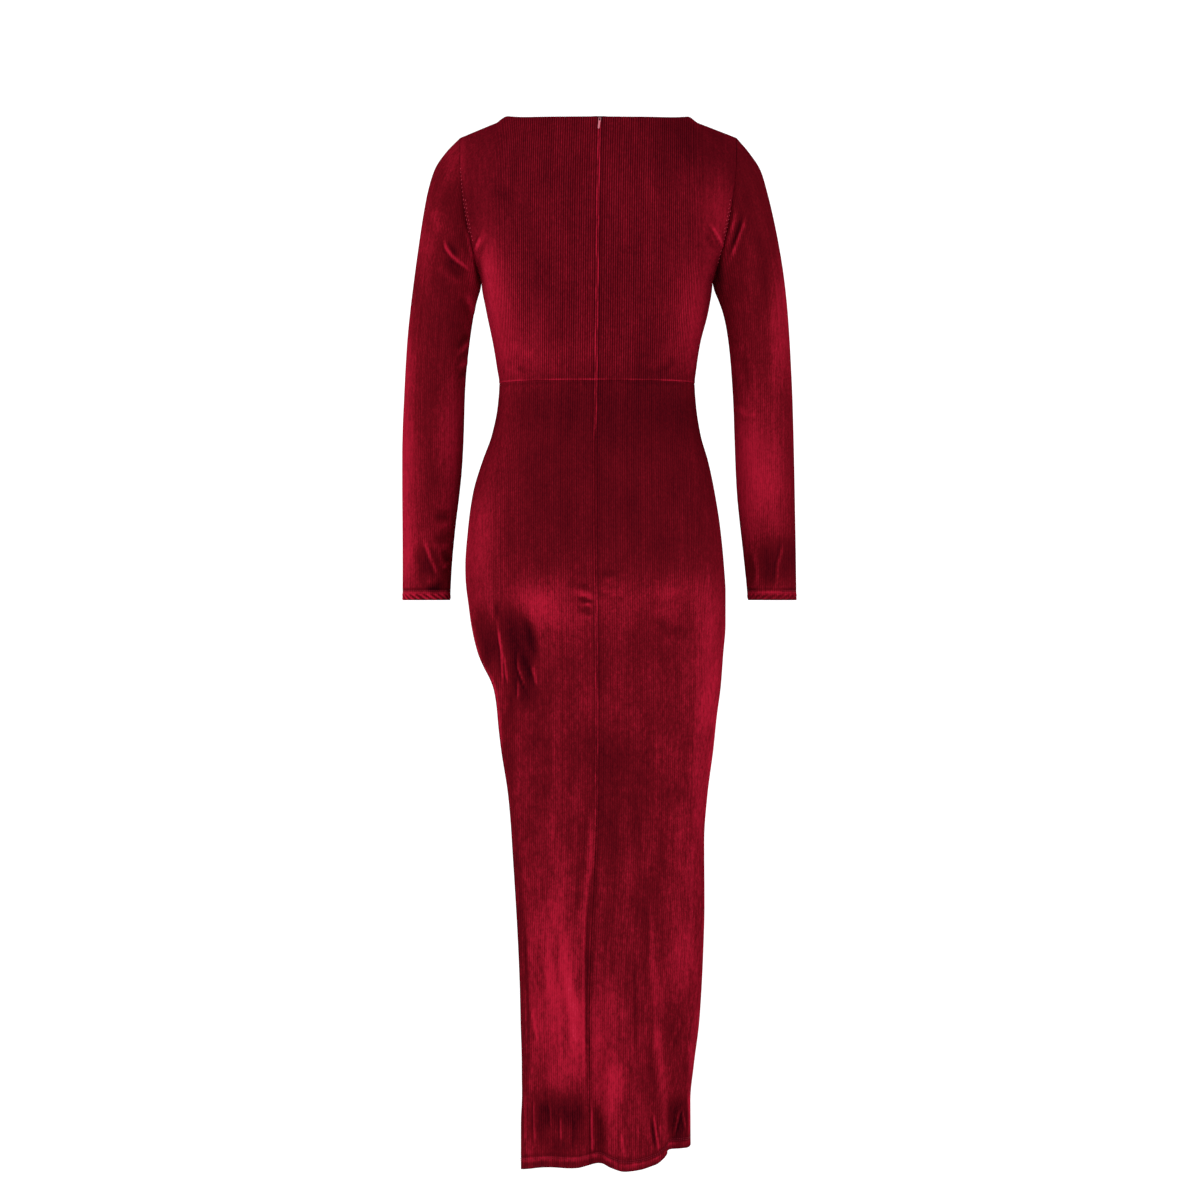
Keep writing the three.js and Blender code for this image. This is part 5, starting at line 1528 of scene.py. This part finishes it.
def tube_faces(first, rings, sides):
    """Faces of a tube of rings and of its two ends, from the number of its first point."""
    faces = []
    for k in range(rings - 1):
        for i in range(sides):
            a = first + k * sides + i
            b = first + k * sides + (i + 1) % sides
            faces.append((a, b, b + sides, a + sides))
    last = first + (rings - 1) * sides
    faces.append(tuple(first + i for i in reversed(range(sides))))
    faces.append(tuple(last + i for i in range(sides)))
    return faces


GRAIN_RINGS = ((-0.5, 0.35), (-0.3, 0.85), (0.0, 1.0), (0.3, 0.85), (0.5, 0.35))
GRAIN_SIDES = 6


def grains(name, places, ways, outs, size, material):
    """Row of small rounded grains, such as stitches or zip teeth, as one object."""
    long, wide, tall = size
    points = []
    faces = []
    for place, way, out in zip(places, ways, outs):
        across = np.cross(way, out)
        faces += tube_faces(len(points), len(GRAIN_RINGS), GRAIN_SIDES)
        for share, full in GRAIN_RINGS:
            for i in range(GRAIN_SIDES):
                turn = 2 * math.pi * i / GRAIN_SIDES
                aside = across * (math.cos(turn) * wide) + out * (math.sin(turn) * tall)
                points.append(place + way * (share * long) + aside * (full / 2))
    made, _ = add_object(name, points, faces, [material])
    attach(made, "dress")


# Small stitches along the hem and the cuffs
STITCH_PITCH = 3.1
STITCH_START = 2.5
STITCH_SIZE = (2.5, 0.6, 0.5)
STITCH_SINK = 0.12


def stitch_row(name, row, middle=None):
    """Row of stitches sunk in the cloth, facing away from a middle point, or else square to the row."""
    places, ways = along_line(row, STITCH_PITCH, STITCH_START)
    if middle is None:
        outs = unit(np.cross(ways, (0.0, 0.0, 1.0)))
        outs *= np.where(np.sum(outs[:, :2] * places[:, :2], axis=1) < 0, -1, 1)[:, None]
    else:
        outs = unit((places - middle) * (1, 1, 0))
    grains(name, places - outs * STITCH_SINK, ways, outs, STITCH_SIZE, RED_THREAD)


for piece in SKIRT_PIECES:
    for number, height in enumerate(STITCH_ROWS, 1):
        stitch_row(f"hem_stitches_{piece}_{number}", skirt_row(piece, SIDE_HEM_Z + height))
for side in SIGN:
    for number, height in enumerate(STITCH_ROWS, 1):
        row = sleeve_row(side, LAST_RING - height / CUFF_RING_TALL)
        stitch_row(f"cuff_stitches_{side}_{number}", row, row.mean(axis=0))

# Rows of stitching beside the back armholes: heights of their ends and distance from the seam
ARMHOLE_ROWS = records(("side", "top", "end", "aside"), [
    ("left", -62, -150, 1.2),
    ("left", -104, -158, 3.8),
    ("right", -104, -150, 3.4),
    ("right", -118, -186, 1.1),
])
ARMHOLE_TURNS = (0.2, 2.9)
ARMHOLE_OUT = (0.45, 0.893)
ARMHOLE_PITCH = 5.2
ARMHOLE_STITCH = (2.2, 0.7, 0.6)
ARMHOLE_SINK = 0.1
SLANT = 0.6

for number, stitching in enumerate(ARMHOLE_ROWS, 1):
    side = stitching["side"]
    x, y, z = armhole_point(side, "back", np.linspace(*ARMHOLE_TURNS, 400))
    shown = (z < stitching["top"]) & (z > stitching["end"])
    line = np.stack([SIGN[side] * (x - stitching["aside"]), y, z], axis=-1)[shown]
    line[:, 1] = yoke_depth(side, "back", line[:, 0], line[:, 2])
    places, ways = along_line(line, ARMHOLE_PITCH, 1.0)
    outs = np.tile((SIGN[side] * ARMHOLE_OUT[0], ARMHOLE_OUT[1], 0.0), (len(places), 1))
    ways = unit(ways + SLANT * np.cross(ways, outs))
    sunk = places - outs * ARMHOLE_SINK
    grains(f"armhole_stitches_{number}", sunk, ways, outs, ARMHOLE_STITCH, BRIGHT_THREAD)


ZIP_TOP_Z = -2.5
ZIP_SAMPLES = 500


def zip_line(sink):
    """Line down the zip, a little behind the face of the cloth."""
    z = np.linspace(ZIP_TOP_Z, ZIP_END_Z, ZIP_SAMPLES)
    x = CENTRE_BACK(z)
    upper = yoke_depth("left", "back", x, z)
    lower = form_point("back", z, np.full_like(z, math.pi / 2))[:, 1]
    return np.stack([x, np.where(z > UNDERARM_Z, upper, lower) - sink, z], axis=-1)


# Zip behind the cloth: corners of the tape's section, as shares of its half width and thickness
TAPE_CORNERS = ((-1, 0), (-0.5, 0), (0, 0), (0.5, 0), (1, 0), (1, 1), (0, 1), (-1, 1))
TAPE_WIDE = 11.0
TAPE_THICK = 0.5
TAPE_BEND = 0.9
TAPE_SINK = 0.35
TEETH_SINK = 1.9
TEETH_PITCH = 1.5
TEETH_START = 6.0
TOOTH_SIZE = (3.4, 0.9, 0.9)

line = zip_line(WALL + TAPE_SINK)[::4]
tape_points = [
    place + (across * TAPE_WIDE, -deep * TAPE_THICK - TAPE_BEND * abs(across), 0)
    for place in line for across, deep in TAPE_CORNERS
]
zip_tape, _ = add_object("zip_tape", tape_points, tube_faces(0, len(line), len(TAPE_CORNERS)), [ZIP_TAPE])
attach(zip_tape, "dress")

places, _ = along_line(zip_line(TEETH_SINK), TEETH_PITCH, TEETH_START)
teeth_ways = np.tile((1.0, 0.0, 0.0), (len(places), 1))
teeth_outs = np.tile((0.0, 1.0, 0.0), (len(places), 1))
grains("zip_teeth", places, teeth_ways, teeth_outs, TOOTH_SIZE, RED_THREAD)


def soft_light(name, place, aim, size, watts):
    data = bpy.data.lights.new(name, "AREA")
    data.energy = watts
    data.shape = "RECTANGLE"
    data.size, data.size_y = size
    made = bpy.data.objects.new(name, data)
    bpy.context.scene.collection.objects.link(made)
    made.location = place
    made.rotation_euler = (Vector(aim) - Vector(place)).to_track_quat("-Z", "Y").to_euler()


soft_light("key_light", (1.9, 3.2, 1.0), (0, 0, -0.6), (1.4, 2.0), 60)
soft_light("fill_light", (-2.2, 3.0, 0.3), (0, 0, -0.7), (1.6, 2.2), 34)
soft_light("left_edge_light", (2.6, 0.6, -0.2), (0, 0, -0.6), (0.9, 2.4), 22)
soft_light("right_edge_light", (-2.6, 0.6, -0.2), (0, 0, -0.6), (0.9, 2.4), 18)

world = bpy.data.worlds.new("studio")
bpy.context.scene.world = world
world.use_nodes = True
background = world.node_tree.nodes["Background"]
background.inputs["Color"].default_value = (0.97, 0.97, 0.98, 1)
background.inputs["Strength"].default_value = 0.9
bpy.context.scene.view_settings.view_transform = "Standard"

# Floor that curves up into the backdrop
FLOOR_Z = -2400
FLOOR_HALF = 12000
BACKDROP_Y = -7000
BACKDROP_TALL = 8000
COVE = 1600
COVE_STEPS = 12

profile = [(FLOOR_HALF, FLOOR_Z)]
for step in range(COVE_STEPS + 1):
    turn = math.pi / 2 * step / COVE_STEPS
    profile.append((BACKDROP_Y + COVE * (1 - math.sin(turn)), FLOOR_Z + COVE * (1 - math.cos(turn))))
profile.append((BACKDROP_Y, FLOOR_Z + BACKDROP_TALL))
floor_points = [(sign * FLOOR_HALF, depth, height) for depth, height in profile for sign in (-1, 1)]
floor_faces = [(2 * i, 2 * i + 1, 2 * i + 3, 2 * i + 2) for i in range(len(profile) - 1)]
paper = Finish("pale_paper", Roughness=0.9, Emission_Strength=0.2)
paper.set(Emission_Color=(1, 1, 1, 1))
paper.set(Base_Color=paper.place.noise(3.0).blend((0.9, 0.9, 0.91, 1), (0.93, 0.93, 0.93, 1)))
floor, _ = add_object("floor", floor_points, floor_faces, [paper.material])

ZIP_FINISHES = {
    "zip_slider": zip_paint("slider_paint", colour(44, 6, 12), colour(96, 26, 36), 0.5),
    "zip_pull_tab": zip_paint("pull_tab_paint", colour(176, 92, 104), colour(214, 150, 154), 0.3),
}
for node_name, finish in ZIP_FINISHES.items():
    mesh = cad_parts[node_name].data
    mesh.materials.clear()
    mesh.materials.append(finish)
